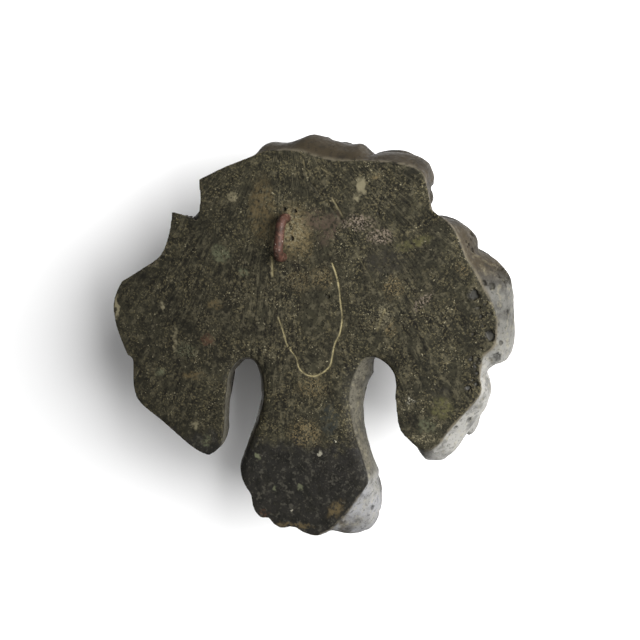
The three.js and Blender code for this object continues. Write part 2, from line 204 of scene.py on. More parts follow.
def place_vertices(mesh: Mesh, places: np.ndarray) -> None:
    """Puts every vertex in its new place.

    Args:
        mesh: The mesh.
        places: One row for each vertex.
    """
    mesh.vertices.foreach_set("co", places.astype(np.float32).ravel())
    mesh.update()


def mesh_of(bm: bmesh.types.BMesh, name: str) -> Mesh:
    """Turns a bmesh into a mesh and frees it.

    Args:
        bm: The bmesh.
        name: The mesh's name.

    Returns:
        The mesh.
    """
    mesh = bpy.data.meshes.new(name)
    bm.to_mesh(mesh)
    bm.free()
    return mesh


def bmesh_of(*meshes: Mesh) -> bmesh.types.BMesh:
    """Turns meshes into one bmesh.

    Args:
        meshes: The meshes. They are used up.

    Returns:
        The bmesh.
    """
    bm = bmesh.new()
    for mesh in meshes:
        bm.from_mesh(mesh)
        bpy.data.meshes.remove(mesh)
    return bm


def sphere(segments: int, rings: int) -> bmesh.types.BMesh:
    """A ball of radius 1 about the origin, from which a rounded form is drawn out.

    Args:
        segments: How many faces it has round its axis.
        rings: How many faces it has from pole to pole.

    Returns:
        The bmesh.
    """
    bm = bmesh.new()
    bmesh.ops.create_uvsphere(bm, u_segments=segments, v_segments=rings, radius=1)
    return bm


def shown(data: bpy.types.ID, name: str) -> bpy.types.Object:
    """An object at the origin, in the scene.

    Args:
        data: The mesh, light or camera that it shows.
        name: The object's name.

    Returns:
        The object.
    """
    obj = bpy.data.objects.new(name, data)
    bpy.context.scene.collection.objects.link(obj)
    return obj


def finished(mesh: Mesh, name: str, finish: bpy.types.Material) -> bpy.types.Object:
    """A finished piece, in metres.

    Args:
        mesh: Its mesh, in millimetres.
        name: Its name.
        finish: Its material.

    Returns:
        The piece.
    """
    mesh.transform(Matrix.Scale(MM, 4))
    mesh.materials.append(finish)
    mesh.shade_smooth()
    log.info("%s: %d faces", name, len(mesh.polygons))
    return shown(mesh, name)


def with_modifiers(mesh: Mesh, *modifiers: tuple[str, dict]) -> Mesh:
    """A mesh after some modifiers.

    Args:
        mesh: The mesh. It is used up.
        modifiers: Each modifier's kind and its settings.

    Returns:
        The new mesh.
    """
    obj = shown(mesh, "work")
    for kind, settings in modifiers:
        modifier = obj.modifiers.new(kind, kind)
        for name, value in settings.items():
            setattr(modifier, name, value)
    made = bpy.data.meshes.new_from_object(obj.evaluated_get(bpy.context.evaluated_depsgraph_get()))
    bpy.data.objects.remove(obj)
    bpy.data.meshes.remove(mesh)
    return made


def edge_ends(mesh: Mesh) -> tuple[np.ndarray, np.ndarray]:
    """The two vertices of every edge.

    Args:
        mesh: The mesh.

    Returns:
        The first and the second vertex of each edge.
    """
    ends = np.empty(len(mesh.edges) * 2, np.int32)
    mesh.edges.foreach_get("vertices", ends)
    return ends[::2], ends[1::2]


def outer_skin(mesh: Mesh) -> Mesh:
    """Keeps only the largest connected skin, without the walls of voids closed inside.

    Args:
        mesh: The mesh. It is used up.

    Returns:
        The new mesh.
    """
    a, b = edge_ends(mesh)
    label = np.arange(len(mesh.vertices))
    while True:
        low = np.minimum(label[a], label[b])
        before = label.copy()
        np.minimum.at(label, a, low)
        np.minimum.at(label, b, low)
        label = label[label]
        if np.array_equal(before, label):
            break
    largest = np.argmax(np.bincount(label))
    bm = bmesh_of(mesh)
    bm.verts.ensure_lookup_table()
    inner = [bm.verts[i] for i in np.flatnonzero(label != largest)]
    bmesh.ops.delete(bm, geom=inner, context="VERTS")
    return mesh_of(bm, "skin")


def neighbour_mean(mesh: Mesh, values: np.ndarray, rounds: int) -> np.ndarray:
    """Each vertex's value averaged with its neighbours' some rounds over.

    Args:
        mesh: The mesh.
        values: One row or number for each vertex.
        rounds: How many times it is averaged.

    Returns:
        The averaged values.
    """
    a, b = edge_ends(mesh)
    count = len(mesh.vertices)
    degree = np.bincount(a, minlength=count) + np.bincount(b, minlength=count)
    columns = values.reshape(count, -1).T.copy()
    for _ in range(rounds):
        for i, column in enumerate(columns):
            total = np.bincount(a, column[b], count) + np.bincount(b, column[a], count)
            columns[i] = 0.5 * column + 0.5 * total / np.maximum(degree, 1)
    return columns.T.reshape(values.shape)


# --- Finishes ----------------------------------------------------------------------------------------


def linear(colour: str) -> tuple[float, float, float, float]:
    """A colour for a shader.

    Args:
        colour: The colour as sRGB hex, such as #3c3a2e.

    Returns:
        Its linear red, green and blue, and 1.
    """
    channels = [int(colour[i:i + 2], 16) / 255 for i in (1, 3, 5)]
    red, green, blue = (c / 12.92 if c <= 0.04045 else ((c + 0.055) / 1.055) ** 2.4 for c in channels)
    return red, green, blue, 1.0


def empty_tree(owner: bpy.types.Material | bpy.types.World) -> Tree:
    """Clears the node tree of a material or a world.

    Args:
        owner: The material or the world.

    Returns:
        Its tree.
    """
    owner.use_nodes = True
    owner.node_tree.nodes.clear()
    return owner.node_tree


def add_node(
    tree: Tree, kind: str, links: dict | None = None, out: str = "", **settings: object
) -> Socket | None:
    """Adds a node to a material or the world.

    Args:
        tree: Its node tree.
        kind: The node's kind, without ShaderNode.
        links: Input name or identifier to a value, a colour as hex, or another node's output.
        out: The output that is wanted, or nothing for the first.
        settings: The node's own settings.

    Returns:
        The output, or nothing for a node that has none.
    """
    node = tree.nodes.new("ShaderNode" + kind)
    for name, value in settings.items():
        setattr(node, name, value)
    for name, value in (links or {}).items():
        socket = next(s for s in node.inputs if name in (s.identifier, s.name))
        if isinstance(value, Socket):
            tree.links.new(value, socket)
        else:
            socket.default_value = linear(value) if isinstance(value, str) else value
    return next((s for s in node.outputs if out in ("", s.identifier, s.name)), None)


def patches(
    tree: Tree, place: Socket, size: float, low: float, high: float, detail: float = 2, at: float = 0
) -> Socket:
    """A mask of irregular patches.

    Args:
        tree: The material's node tree.
        place: Where to read it, in millimetres.
        size: How far apart the patches are, in millimetres.
        low: The noise value at which a patch starts.
        high: The noise value at which it is full.
        detail: How many finer layers break its edges.
        at: Which part of the noise, so that two masks differ.

    Returns:
        The mask, 0 to 1.
    """
    noise = add_node(tree, "TexNoise", {"Vector": place, "W": at, "Scale": 1 / size, "Detail": detail,
                                        "Roughness": 0.6}, noise_dimensions="4D")
    return add_node(tree, "MapRange", {"Value": noise, "From Min": low, "From Max": high},
                    interpolation_type="SMOOTHSTEP")


def layered(tree: Tree, base: Socket | str, *layers: tuple[Socket | str, list]) -> Socket:
    """Colours laid over each other.

    Args:
        tree: The material's node tree.
        base: The colour below.
        layers: Each layer's colour, and the masks whose product is how much of it shows. A mask that is a
            triple is a value with where its share starts and where it is full.

    Returns:
        The colour.
    """
    colour = base
    for above, masks in layers:
        share = 1.0
        for mask in masks:
            if isinstance(mask, tuple):
                value, low, high = mask
                mask = add_node(tree, "MapRange", {"Value": value, "From Min": low, "From Max": high},
                                interpolation_type="SMOOTHSTEP")
            share = add_node(tree, "Math", {"Value": share, "Value_001": mask}, operation="MULTIPLY")
        colour = add_node(tree, "Mix", {"Factor_Float": share, "A_Color": colour, "B_Color": above},
                          out="Result_Color", data_type="RGBA")
    return colour


class Grain(Enum):
    """How a stain breaks up: how far apart its flecks are in millimetres, and how sharp they are."""

    SOLID = (6.0, 0.25, 0.4)
    SMEAR = (2.6, 0.36, 0.62)
    SPECKLE = (1.1, 0.47, 0.62)


class Tint(Enum):
    """What the back is stained with, and its colour."""

    BARE = "#6a6450"
    OCHRE = "#5d523a"
    BROWN = "#493f2b"
    MAUVE = "#3f352d"
    PINKISH = "#6c6155"
    LICHEN = "#505240"
    OLIVE = "#46442b"
    BLUISH = "#242725"
    VIOLET = "#26241f"
    RUST = "#3f2d22"
    LIME = "#8d897a"


@dataclass(frozen=True)
class Stain:
    """A stained place on the back: its middle and half-widths as x and z, its turn and its strength.

    fade is where it starts and where it is full, as shares of its half-widths.
    """

    at: Pair
    half: Pair
    tint: Tint
    strength: float
    grain: Grain = Grain.SMEAR
    turn: float = 0.0
    fade: Pair = (1.35, 0.5)
    thickness: float = 30

    def mask(self, tree: Tree, frayed: Socket, flecks: Socket) -> Socket:
        """How much of the stain shows.

        Args:
            tree: The material's node tree.
            frayed: Places in millimetres, shifted a little so that outlines are ragged.
            flecks: The mask of the stain's grain.

        Returns:
            The mask, 0 to its strength.
        """
        (x, z), (half_x, half_z) = self.at, self.half
        own = add_node(tree, "Mapping", {
            "Vector": frayed, "Location": (x, 0, z), "Rotation": (0, math.radians(self.turn), 0),
            "Scale": (half_x, self.thickness, half_z),
        }, vector_type="TEXTURE")
        away = add_node(tree, "VectorMath", {"Vector": own}, out="Value", operation="LENGTH")
        outside, inside = self.fade
        near = add_node(tree, "MapRange", {"Value": away, "From Min": outside, "From Max": inside,
                                           "To Max": self.strength}, interpolation_type="SMOOTHSTEP")
        return add_node(tree, "Math", {"Value": near, "Value_001": flecks}, operation="MULTIPLY")


# Where the wash ran, pooled or was rubbed off, and what has dried on the back since
STAINS = [
    Stain((29, 60), (9, 21), Tint.BROWN, 0.75),
    Stain((7, 46), (13, 17), Tint.OCHRE, 0.85),
    Stain((-2, 38), (5, 12), Tint.OCHRE, 0.7, Grain.SPECKLE),
    Stain((7, 48), (9, 14), Tint.BARE, 0.85, Grain.SPECKLE),
    Stain((-9, 53), (10, 7), Tint.MAUVE, 0.8),
    Stain((-19, 48), (6, 12), Tint.MAUVE, 0.8, turn=-30),
    Stain((50, 68), (3, 3), Tint.BARE, 0.8),
    Stain((59, 30), (7, 6), Tint.LICHEN, 0.7),
    Stain((42, 18), (3, 3), Tint.LICHEN, 0.7),
    Stain((-40, 76), (3, 5), Tint.BARE, 0.85, Grain.SOLID),
    Stain((-37, 68), (3, 2.5), Tint.BARE, 0.8, Grain.SOLID),
    Stain((-50, 82), (4, 1.5), Tint.OCHRE, 0.8),
    Stain((-38, 52), (11, 5), Tint.PINKISH, 0.95, Grain.SPECKLE),
    Stain((-53, 43), (9, 5), Tint.PINKISH, 0.85, Grain.SPECKLE),
    Stain((-75, 39), (12, 3.5), Tint.OLIVE, 0.8, turn=20),
    Stain((-56, 26), (14, 10), Tint.VIOLET, 0.75),
    Stain((-62, 10), (7, 8), Tint.OCHRE, 0.8, Grain.SPECKLE),
    Stain((-56, -9), (5, 9), Tint.BARE, 0.7, Grain.SPECKLE),
    Stain((-60, -17), (4, 5), Tint.OCHRE, 0.8, Grain.SPECKLE),
    Stain((-82, 2), (9, 2.5), Tint.PINKISH, 0.75, Grain.SPECKLE, 48),
    Stain((-13, 15), (9, 7), Tint.OCHRE, 0.7, Grain.SPECKLE),
    Stain((3, 12), (8, 8), Tint.OCHRE, 0.5, Grain.SPECKLE),
    Stain((-107, 23), (5, 4), Tint.OCHRE, 0.85, Grain.SPECKLE),
    Stain((-74, -64), (3.5, 2.5), Tint.LIME, 0.8, Grain.SPECKLE),
    Stain((-93, -58), (7, 5), Tint.VIOLET, 0.7),
    Stain((-95, -68), (8, 7), Tint.OLIVE, 0.8),
    Stain((-85, -80), (6, 5), Tint.LICHEN, 0.6),
    Stain((-84, -89), (9, 3), Tint.BARE, 0.9, Grain.SPECKLE),
    Stain((-7, -59), (11, 8), Tint.OCHRE, 0.65, Grain.SPECKLE),
    Stain((-1, -91), (12, 9), Tint.OCHRE, 0.85, Grain.SPECKLE),
    Stain((-19, -80), (6, 12), Tint.BLUISH, 0.8),
    Stain((103, -7), (2, 4), Tint.BARE, 0.8),
    Stain((94, -31), (1.5, 10), Tint.BARE, 0.6),
    Stain((63, -5), (6, 3), Tint.BROWN, 0.7),
    Stain((86, -38), (8, 6), Tint.LICHEN, 0.5, Grain.SPECKLE),
    Stain((81, -55), (8, 3), Tint.BROWN, 0.7),
    Stain((105, -54), (4, 3), Tint.LICHEN, 0.7),
    Stain((79, -90), (4, 3), Tint.BARE, 0.6),
    Stain((71, -101), (3, 4), Tint.LICHEN, 0.7),
    Stain((69, -30), (5, 4), Tint.RUST, 0.7),
    Stain((138, -9), (1.5, 8), Tint.BARE, 0.7, Grain.SOLID),
    Stain((29, -150), (3.5, 3), Tint.RUST, 0.8),
    Stain((6, -156), (14, 2), Tint.BROWN, 0.8),
    Stain((-23, -142), (8, 4), Tint.BROWN, 0.9, turn=45),
    Stain((52.6, -109), (1.5, 2), Tint.LIME, 0.8, Grain.SOLID),
    Stain((33, -109), (2, 2), Tint.LICHEN, 0.9, Grain.SOLID),
    Stain((-11, -104), (1.3, 1.3), Tint.LIME, 0.6, Grain.SOLID),
    Stain((21, -131), (1.6, 1.6), Tint.LICHEN, 0.7, Grain.SOLID),
    Stain((2, -129), (1.8, 1.8), Tint.LICHEN, 0.7, Grain.SOLID),
    Stain((-22, -95), (0.9, 1.6), Tint.LIME, 0.9, Grain.SOLID),
    Stain((8, -146), (1, 1), Tint.LIME, 0.7, Grain.SOLID),
]


@dataclass(frozen=True)
class StoneFinish:
    """Cast stone poured in a mould and patinated nearly black, then handled and scraped at the back.

    The open flat back took the dark wash unevenly, so it is mottled and speckled with ochre grit and bare
    grains; it is darkened towards +X as painted shade. The pits are painted near black as painted shade. The
    moulded sides are smoother and paler low down on the -X side, have painted shade in the arches and towards
    their front, and their edge is rubbed to the bare stone, with a painted highlight laid along it.
    The real grit is finer than a millimetre, and is drawn 1.1 to 2.2 mm apart so that it shows. bump is the
    strength and height of its grains, and grain is how far apart they are.
    """

    name: str = "patinated_cast_stone"
    olive: str = "#2b291f"
    dark: str = "#191812"
    black: str = "#0d0c09"
    pale: str = "#464234"
    ochre: str = "#5d563f"
    grit: str = "#8c856c"
    # Near black: painted shade in the pits, and random dark specks on the sides
    pit: str = "#100f0b"
    chin: str = "#1b1a18"
    chin_black: str = "#0f0f0d"
    chin_pale: str = "#383630"
    umber: str = "#2e281e"
    ash: str = "#4b4a46"
    grey: str = "#757470"
    lilac: str = "#69696a"
    # Dark tone for random mottling and the furrows, and painted shade in the arches and towards the front
    shade: str = "#1b1916"
    # Painted shade for the walls of the arches and the lobes' inner sides
    column: str = "#48453c"
    # The back's rubbed edge, also a painted highlight along it
    rubbed: str = "#514b3f"
    dust: str = "#8c8260"
    ior: float = 1.5
    gloss: float = 0.1
    roughness: Pair = (0.5, 0.8)
    bump: Pair = (0.7, 0.3)
    grain: float = 2.2
    # Where the strokes of the float fan out from, how many there are to a radian and how long they are
    fan: Pair = (12, 135)
    fan_strokes: float = 60
    stroke_length: float = 15
    # The dark pour on the chin: where it starts and is full, and how wide and long its tongues are
    pour_line: Pair = (-76, -87)
    tongue: Pair = (9, 34)
    # How far apart and how deep the bays in a stain's outline are
    fray: Pair = (5, 9)
    # How far in front of the wall the back's finish ends and the sides' is full, and how much further in
    # the arches
    turn: Pair = (-0.9, -2.2)
    overrun: float = 2.0

    def back(self, tree: Tree, place: Socket, x: Socket, z: Socket) -> Socket:
        """The open face of the pour: mottled, streaked where it was struck off, stained, and darker towards
        +X as painted shade.

        Args:
            tree: The material's node tree.
            place: Where on the stone, in millimetres.
            x: How far sideways.
            z: How far up.

        Returns:
            Its colour.
        """
        across, above = self.fan
        swept = add_node(tree, "VectorMath", {"Vector": place, "Vector_001": (across, 0, above)},
                         operation="SUBTRACT")
        turned = add_node(tree, "Math", {
            "Value": add_node(tree, "SeparateXYZ", {"Vector": swept}, out="X"),
            "Value_001": add_node(tree, "SeparateXYZ", {"Vector": swept}, out="Z"),
        }, operation="ARCTAN2")
        length = add_node(tree, "VectorMath", {"Vector": swept}, out="Value", operation="LENGTH")
        stroke_across = {"Value": turned, "Value_001": self.fan_strokes}
        stroke_along = {"Value": length, "Value_001": self.stroke_length}
        fanned = add_node(tree, "CombineXYZ", {
            "X": add_node(tree, "Math", stroke_across, operation="MULTIPLY"),
            "Z": add_node(tree, "Math", stroke_along, operation="DIVIDE"),
        })
        strokes = add_node(tree, "TexNoise", {"Vector": fanned, "Scale": 1, "Detail": 4, "Roughness": 0.65})
        patch = partial(patches, tree, place)
        broad = patch(36, 0.4, 0.6, 2, 12)
        colour = layered(
            tree, self.olive,
            (self.dark, [patch(24, 0.4, 0.62, 5, 1), 0.75]),
            (self.dark, [patch(5, 0.44, 0.6, 4, 2), 0.75]),
            (self.pale, [patch(4.5, 0.5, 0.64, 5, 14), 0.7]),
            (self.black, [(strokes, 0.5, 0.62), patch(40, 0.36, 0.52, 2, 11), 0.8]),
            (self.pale, [(strokes, 0.47, 0.35), broad, 0.7]),
            (self.black, [patch(1.3, 0.52, 0.64, 3, 7), 0.8]),
            (self.ochre, [patch(20, 0.34, 0.6, 4, 3), patch(1.3, 0.5, 0.66, 4, 4), 0.62]),
            (self.grit, [patch(10, 0.44, 0.58, 3, 5), patch(1.1, 0.6, 0.7, 3, 6), 0.8]),
            # Painted shade: the back darkens towards +X, away from the key light
            (self.black, [(x, 20, 90), 0.28]),
        )
        poured = layered(
            tree, self.chin,
            (self.chin_black, [patch(7, 0.42, 0.6, 4, 15), 0.8]),
            (self.chin_pale, [patch(3.5, 0.53, 0.66, 3, 16), 0.8]),
            (self.chin_pale, [patch(1.1, 0.58, 0.68, 2, 17), 0.8]),
        )
        width, length = self.tongue
        ragged = add_node(tree, "TexNoise", {"Vector": place, "Scale": 1 / width, "Detail": 4})
        low = add_node(tree, "Math", {"Value": ragged, "Value_001": length, "Value_002": z},
                       operation="MULTIPLY_ADD")
        colour = layered(tree, colour, (poured, [(low, *self.pour_line), 0.92]))
        return self.stained(tree, colour, place)

    def stained(self, tree: Tree, colour: Socket, place: Socket) -> Socket:
        """A colour with the back's stains over it.

        Args:
            tree: The material's node tree.
            colour: The colour below.
            place: Where on the stone, in millimetres.

        Returns:
            The stained colour.
        """
        width, depth = self.fray
        fray = add_node(tree, "TexNoise", {"Vector": place, "Scale": 1 / width, "Detail": 4}, out="Color")
        centred = add_node(tree, "VectorMath", {"Vector": fray, "Vector_001": (0.5, 0.5, 0.5)},
                           operation="SUBTRACT")
        shifted = {"Vector": centred, "Vector_001": (depth, 0, depth), "Vector_002": place}
        frayed = add_node(tree, "VectorMath", shifted, operation="MULTIPLY_ADD")
        flecks = {}
        for number, grain in enumerate(Grain):
            size, low, high = grain.value
            flecks[grain] = patches(tree, place, size, low, high, 4, 30 + number)
        return layered(tree, colour, *(
            (stain.tint.value, [stain.mask(tree, frayed, flecks[stain.grain])]) for stain in STAINS))

    def sides(self, tree: Tree, place: Socket, x: Socket, y: Socket, z: Socket) -> Socket:
        """The moulded surfaces: brown above, ash grey lower down on the -X side, darkest in the furrows of
        the hair, with painted shade in the arches, on the lobes' inner sides and towards their front.

        Args:
            tree: The material's node tree.
            place: Where on the stone, in millimetres.
            x: How far sideways.
            y: How far from the wall, negative in front of it.
            z: How far up.

        Returns:
            Their colour.
        """
        furrow, arch = (add_node(tree, "Attribute", out="Fac", attribute_name=name)
                        for name in ("furrow", "arch"))
        patch = partial(patches, tree, place)
        uneven = patch(14, 0.3, 0.6, 3, 18)
        # Ash and grey go only on the -X side; the +X side stays umber
        minus_x_side, beard_side = (x, -20, -60), (x, 0, -25)
        cheek, below_cheek, below_ears = (z, 26, 6), (z, -12, -50), (z, 60, 20)
        above_curls, curls = (z, -125, -112), (z, -118, -130)
        return layered(
            tree, self.umber,
            (self.ash, [cheek, minus_x_side]),
            (self.grey, [below_cheek, minus_x_side]),
            # Painted shade: the walls of the arches and the lobes' inner sides are darkened, as if in the
            # gaps' shadow
            (self.column, [arch, above_curls]),
            (self.shade, [arch, above_curls, patch(1.3, 0.5, 0.64, 3, 19), 0.5]),
            (self.lilac, [curls, beard_side, uneven]),
            (self.shade, [patch(13, 0.48, 0.64, 5, 8), 0.55]),
            (self.shade, [patch(2.2, 0.52, 0.66, 4, 20), 0.55]),
            (self.grit, [patch(4, 0.5, 0.7, 4, 9), below_ears, 0.22]),
            (self.pit, [patch(1.8, 0.64, 0.72, 2, 10), 0.6]),
            # Painted shade: the sides darken towards their front, where little light reaches
            (self.shade, [(y, -24, -40), 0.6]),
            (self.shade, [(furrow, 0.15, 1.2), 0.85]),
        )

    def make(self) -> bpy.types.Material:
        """The stone's material.

        Returns:
            The material.
        """
        material = bpy.data.materials.new(self.name)
        tree = empty_tree(material)
        reading = add_node(tree, "TexCoord", out="Object")
        place = add_node(tree, "VectorMath", {"Vector": reading, "Scale": 1 / MM}, operation="SCALE")
        x, y, z = (add_node(tree, "SeparateXYZ", {"Vector": place}, out=axis) for axis in "XYZ")
        dust, hollow, arch, rim = (add_node(tree, "Attribute", out="Fac", attribute_name=name)
                                   for name in ("dust", "hollow", "arch", "rim"))
        outside = add_node(tree, "Math", {"Value": 1.0, "Value_001": arch}, operation="SUBTRACT")
        kept = add_node(tree, "Math", {"Value": arch, "Value_001": self.overrun, "Value_002": y},
                        operation="MULTIPLY_ADD")
        patch = partial(patches, tree, place)
        # Painted shade: the pits are coloured near black
        painted_pit_shade = (self.pit, [hollow, 0.5])
        back = layered(tree, self.back(tree, place, x, z),
                       (self.dust, [dust, patch(2.2, 0.3, 0.52, 4, 21)]), painted_pit_shade)
        wall = layered(tree, self.sides(tree, place, x, y, z), painted_pit_shade)
        colour = layered(
            tree, back,
            (wall, [(kept, *self.turn)]),
            # The rubbed edge of the back, partly a painted highlight; left out in the arches
            (self.rubbed, [rim, outside, patch(9, 0.36, 0.56, 3, 13), 0.8]),
        )
        coarse = add_node(tree, "TexNoise", {"Vector": place, "Scale": 1 / self.grain, "Detail": 4})
        smooth, rough = self.roughness
        roughness = add_node(tree, "MapRange", {"Value": coarse, "From Min": 0.3, "From Max": 0.7,
                                                "To Min": smooth, "To Max": rough})
        strength, height = self.bump
        bump = add_node(tree, "Bump", {"Height": coarse, "Strength": strength, "Distance": height * MM})
        shader = add_node(tree, "BsdfPrincipled", {
            "Base Color": colour, "Roughness": roughness, "IOR": self.ior, "Specular IOR Level": self.gloss,
            "Normal": bump})
        add_node(tree, "OutputMaterial", {"Surface": shader})
        return material


@dataclass(frozen=True)
class IronFinish:
    """Wrought iron rod, bent hot and left to rust: dull red-brown scale with rubbed, pinkish high spots.

    The specks of rust are finer than they are drawn here, so that they show.
    """

    name: str = "rusted_wrought_iron"
    rust: str = "#3d261d"
    scale: str = "#22170f"
    rubbed: str = "#664c3f"
    bright: str = "#a99b92"
    metallic: float = 0.2
    roughness: float = 0.6
    gloss: float = 0.3
    grain: float = 0.9
    bump: Pair = (0.6, 0.2)

    def make(self) -> bpy.types.Material:
        """The iron's material.

        Returns:
            The material.
        """
        material = bpy.data.materials.new(self.name)
        tree = empty_tree(material)
        reading = add_node(tree, "TexCoord", out="Object")
        place = add_node(tree, "VectorMath", {"Vector": reading, "Scale": 1 / MM}, operation="SCALE")
        patch = partial(patches, tree, place)
        colour = layered(
            tree, self.rust,
            (self.scale, [patch(3.5, 0.45, 0.62, 4, 1), 0.85]),
            (self.rubbed, [patch(4, 0.54, 0.68, 3, 2), 0.7]),
            (self.bright, [patch(1.6, 0.66, 0.72, 2, 3), 0.7]),
        )
        grain = add_node(tree, "TexNoise", {"Vector": place, "Scale": 1 / self.grain, "Detail": 4})
        strength, height = self.bump
        bump = add_node(tree, "Bump", {"Height": grain, "Strength": strength, "Distance": height * MM})
        shader = add_node(tree, "BsdfPrincipled", {
            "Base Color": colour, "Roughness": self.roughness, "Metallic": self.metallic,
            "Specular IOR Level": self.gloss, "Normal": bump})
        add_node(tree, "OutputMaterial", {"Surface": shader})
        return material


@dataclass(frozen=True)
class PaperFinish:
    """Matte white background paper, seen only from its front so that it never hides the object."""

    name: str = "white_background_paper"
    white: str = "#f2f2f2"

    def make(self) -> bpy.types.Material:
        """The paper's material.

        Returns:
            The material.
        """
        material = bpy.data.materials.new(self.name)
        tree = empty_tree(material)
        paper = add_node(tree, "BsdfDiffuse", {"Color": self.white})
        clear = add_node(tree, "BsdfTransparent")
        behind = add_node(tree, "NewGeometry", out="Backfacing")
        shader = add_node(tree, "MixShader", {"Fac": behind, "Shader": paper, "Shader_001": clear})
        add_node(tree, "OutputMaterial", {"Surface": shader})
        return material


# --- The body under the mane --------------------------------------------------------------------------


@dataclass(frozen=True)
class Stretch:
    """A stretch of the back's edge, between two notches or sharp corners.

    A knot is its x and z, how far the side bulges beyond the back there, and how far its front draws in.
    """

    name: str
    knots: list[tuple[float, float, float, float]]


STRETCHES = [
    Stretch("behind the ear", [(-86.5, 61, 0, 11), (-85, 70, -1, 9), (-82.6, 78.5, 0, 7)]),
    Stretch("crown tuft", [(-82.6, 78.5, 2, 4), (-81, 82.5, 4.5, 4), (-77, 86, 7.5, 4), (-70, 88.5, 9, 4),
        (-60, 90.4, 9, 4), (-50, 91.5, 7, 4), (-43, 91.6, 5, 4)]),
    Stretch("forelock, short side", [(-43, 91.6, 5, 4), (-38, 91.5, 11, 4), (-34, 91.2, 14, 4)]),
    Stretch("forelock", [(-34, 91.2, 14, 4), (-25, 91, 14.5, 4), (-17, 92.2, 15.5, 4), (-10, 93.5, 16.5, 4),
        (-1, 96.3, 17, 4), (3, 97.5, 15, 4), (10, 98.6, 10, 4), (20, 98.5, 8.5, 4)]),
    Stretch("forelock, long side", [(20, 98.5, 8.5, 4), (27, 97.9, 9.5, 4), (33, 96.5, 6, 4)]),
    Stretch("crown", [(33, 96.5, 3, 6), (40, 94.2, 0, 9), (57, 88, 0, 9), (74.5, 80, 0, 9)]),
    Stretch("temple", [(74.5, 80, 0, 8), (73.5, 66, 2, 8), (76, 52.5, -3, 10)]),
    Stretch("spike", [(76, 52.5, -6, 10), (85, 56.5, -6, 10), (94.5, 58, -2, 6)]),
    Stretch("cheek, upper", [(94.5, 58, 0, 9), (97.5, 42, 0, 9), (104, 28, 0, 9), (118, 18.5, 0, 9),
        (134, 9, 1, 9)]),
    Stretch("cheek, lower", [(134, 9, 1, 6), (140, -5, 4, 6), (138.5, -22, 6, 6), (130.5, -43, 3, 6)]),
    Stretch("hanging lobe", [(130.5, -43, 3, 8), (126, -47, 4, 8), (126, -64, 5, 8), (121.5, -76, 6, 8),
        (104, -89, 5, 8), (82, -106, 3, 8), (69.5, -111.5, 2, 8)]),
    Stretch("inside the lobe", [(69.5, -111.5, 0, 12), (61, -105, -1, 12), (58, -92, -2, 12),
        (57, -72, -1, 12), (54.5, -53, 0, 12)]),
    Stretch("arch", [(54.5, -53, 0, 6), (49, -43.5, 4, 6), (40, -38.5, 9, 6), (32, -41, 13, 6),
        (27, -49, 15, 8)]),
    Stretch("column", [(27, -49, 15, 12), (26.5, -67, 13, 12), (30.5, -85, 12, 12), (38, -102, 9, 12),
        (46, -118, 6, 12), (46, -125, 4, 12), (38, -137, 3, 10)]),
    Stretch("curl", [(38, -137, 3, 4), (36, -146.5, 5, 4), (31, -152.5, 3, 4), (25, -152, 2, 4)]),
    Stretch("curl", [(25, -152, 2, 4), (20, -157.5, 5, 4), (13, -158, 4, 4), (7.5, -156, 2, 4)]),
    Stretch("curl", [(7.5, -156, 2, 4), (0, -160, 5, 4), (-9, -161.5, 5, 4), (-17, -157, 5, 4)]),
    Stretch("curl", [(-17, -157, 7, 3), (-20, -153.5, 17, 2), (-28, -144, 21.5, 1), (-38, -131, 14, 2),
        (-43, -125.5, 3, 4), (-45, -123, 0, 5)]),
    Stretch("column", [(-45, -123, 4, 4), (-42, -111, 4, 8), (-34, -90, 7.5, 12), (-28.5, -71, 13, 12),
        (-28, -55, 17.5, 12), (-33, -43, 17, 10)]),
    Stretch("arch", [(-33, -43, 17, 8), (-39, -36.5, 11, 8), (-46, -35, 6, 8), (-56, -40, 2, 8),
        (-62.5, -48, 0, 9)]),
    Stretch("inside the lobe", [(-62.5, -48, 0, 10), (-64, -66, 0, 10), (-67, -84, 0, 10), (-76, -93, 2, 8)]),
    Stretch("tip of the lobe", [(-76, -93, 3, 4), (-84, -96, 14, 4), (-92, -91.5, 14, 4)]),
    Stretch("hanging lobe", [(-92, -91.5, 14, 4), (-100, -80, 13, 4), (-112, -66, 12, 5), (-119.5, -56, 7, 5),
        (-118.5, -44, 2.5, 4)]),
    Stretch("cheek, lower", [(-118.5, -44, 6, 2), (-120, -32, 15, 0), (-127.5, -24, 12, 2),
        (-128.5, -8, 10, 2)]),
    Stretch("cheek, upper", [(-128.5, -8, 10, 2), (-124.5, 2, 14.5, 2), (-120.5, 9, 18, 2),
        (-114.5, 20, 16, 2), (-110, 27.5, 11, 2), (-108, 31, 9, 3)]),
    Stretch("neck", [(-108, 31, 8, 3), (-104.5, 40, 10, 3), (-101, 48, 6, 4), (-96.5, 54, 2, 7),
        (-92, 57, -1, 9), (-86.5, 61, -2, 11)]),
]


STEPS_BETWEEN_KNOTS = 60


def spline(knots: np.ndarray, samples: int) -> np.ndarray:
    """Points evenly spaced along a smooth curve through some knots.

    Args:
        knots: The knots, one row each: x and z, and any values that follow the curve.
        samples: How many points.

    Returns:
        The points, from the first knot to the last.
    """
    before = np.vstack([knots[:1], knots[:-2]])
    after = np.vstack([knots[2:], knots[-1:]])
    t = np.linspace(0, 1, STEPS_BETWEEN_KNOTS)[:, None]
    dense = []
    for p0, p1, p2, p3 in zip(before, knots[:-1], knots[1:], after):
        v1, v2 = (p2 - p0) / 2, (p3 - p1) / 2
        cubic, square = 2 * p1 - 2 * p2 + v1 + v2, 3 * p2 - 3 * p1 - 2 * v1 - v2
        dense.append(cubic * t**3 + square * t**2 + v1 * t + p1)
    dense = np.vstack(dense)
    length = lengths_along(dense[:, :2])
    return between(np.linspace(0, length[-1], samples), length, dense)


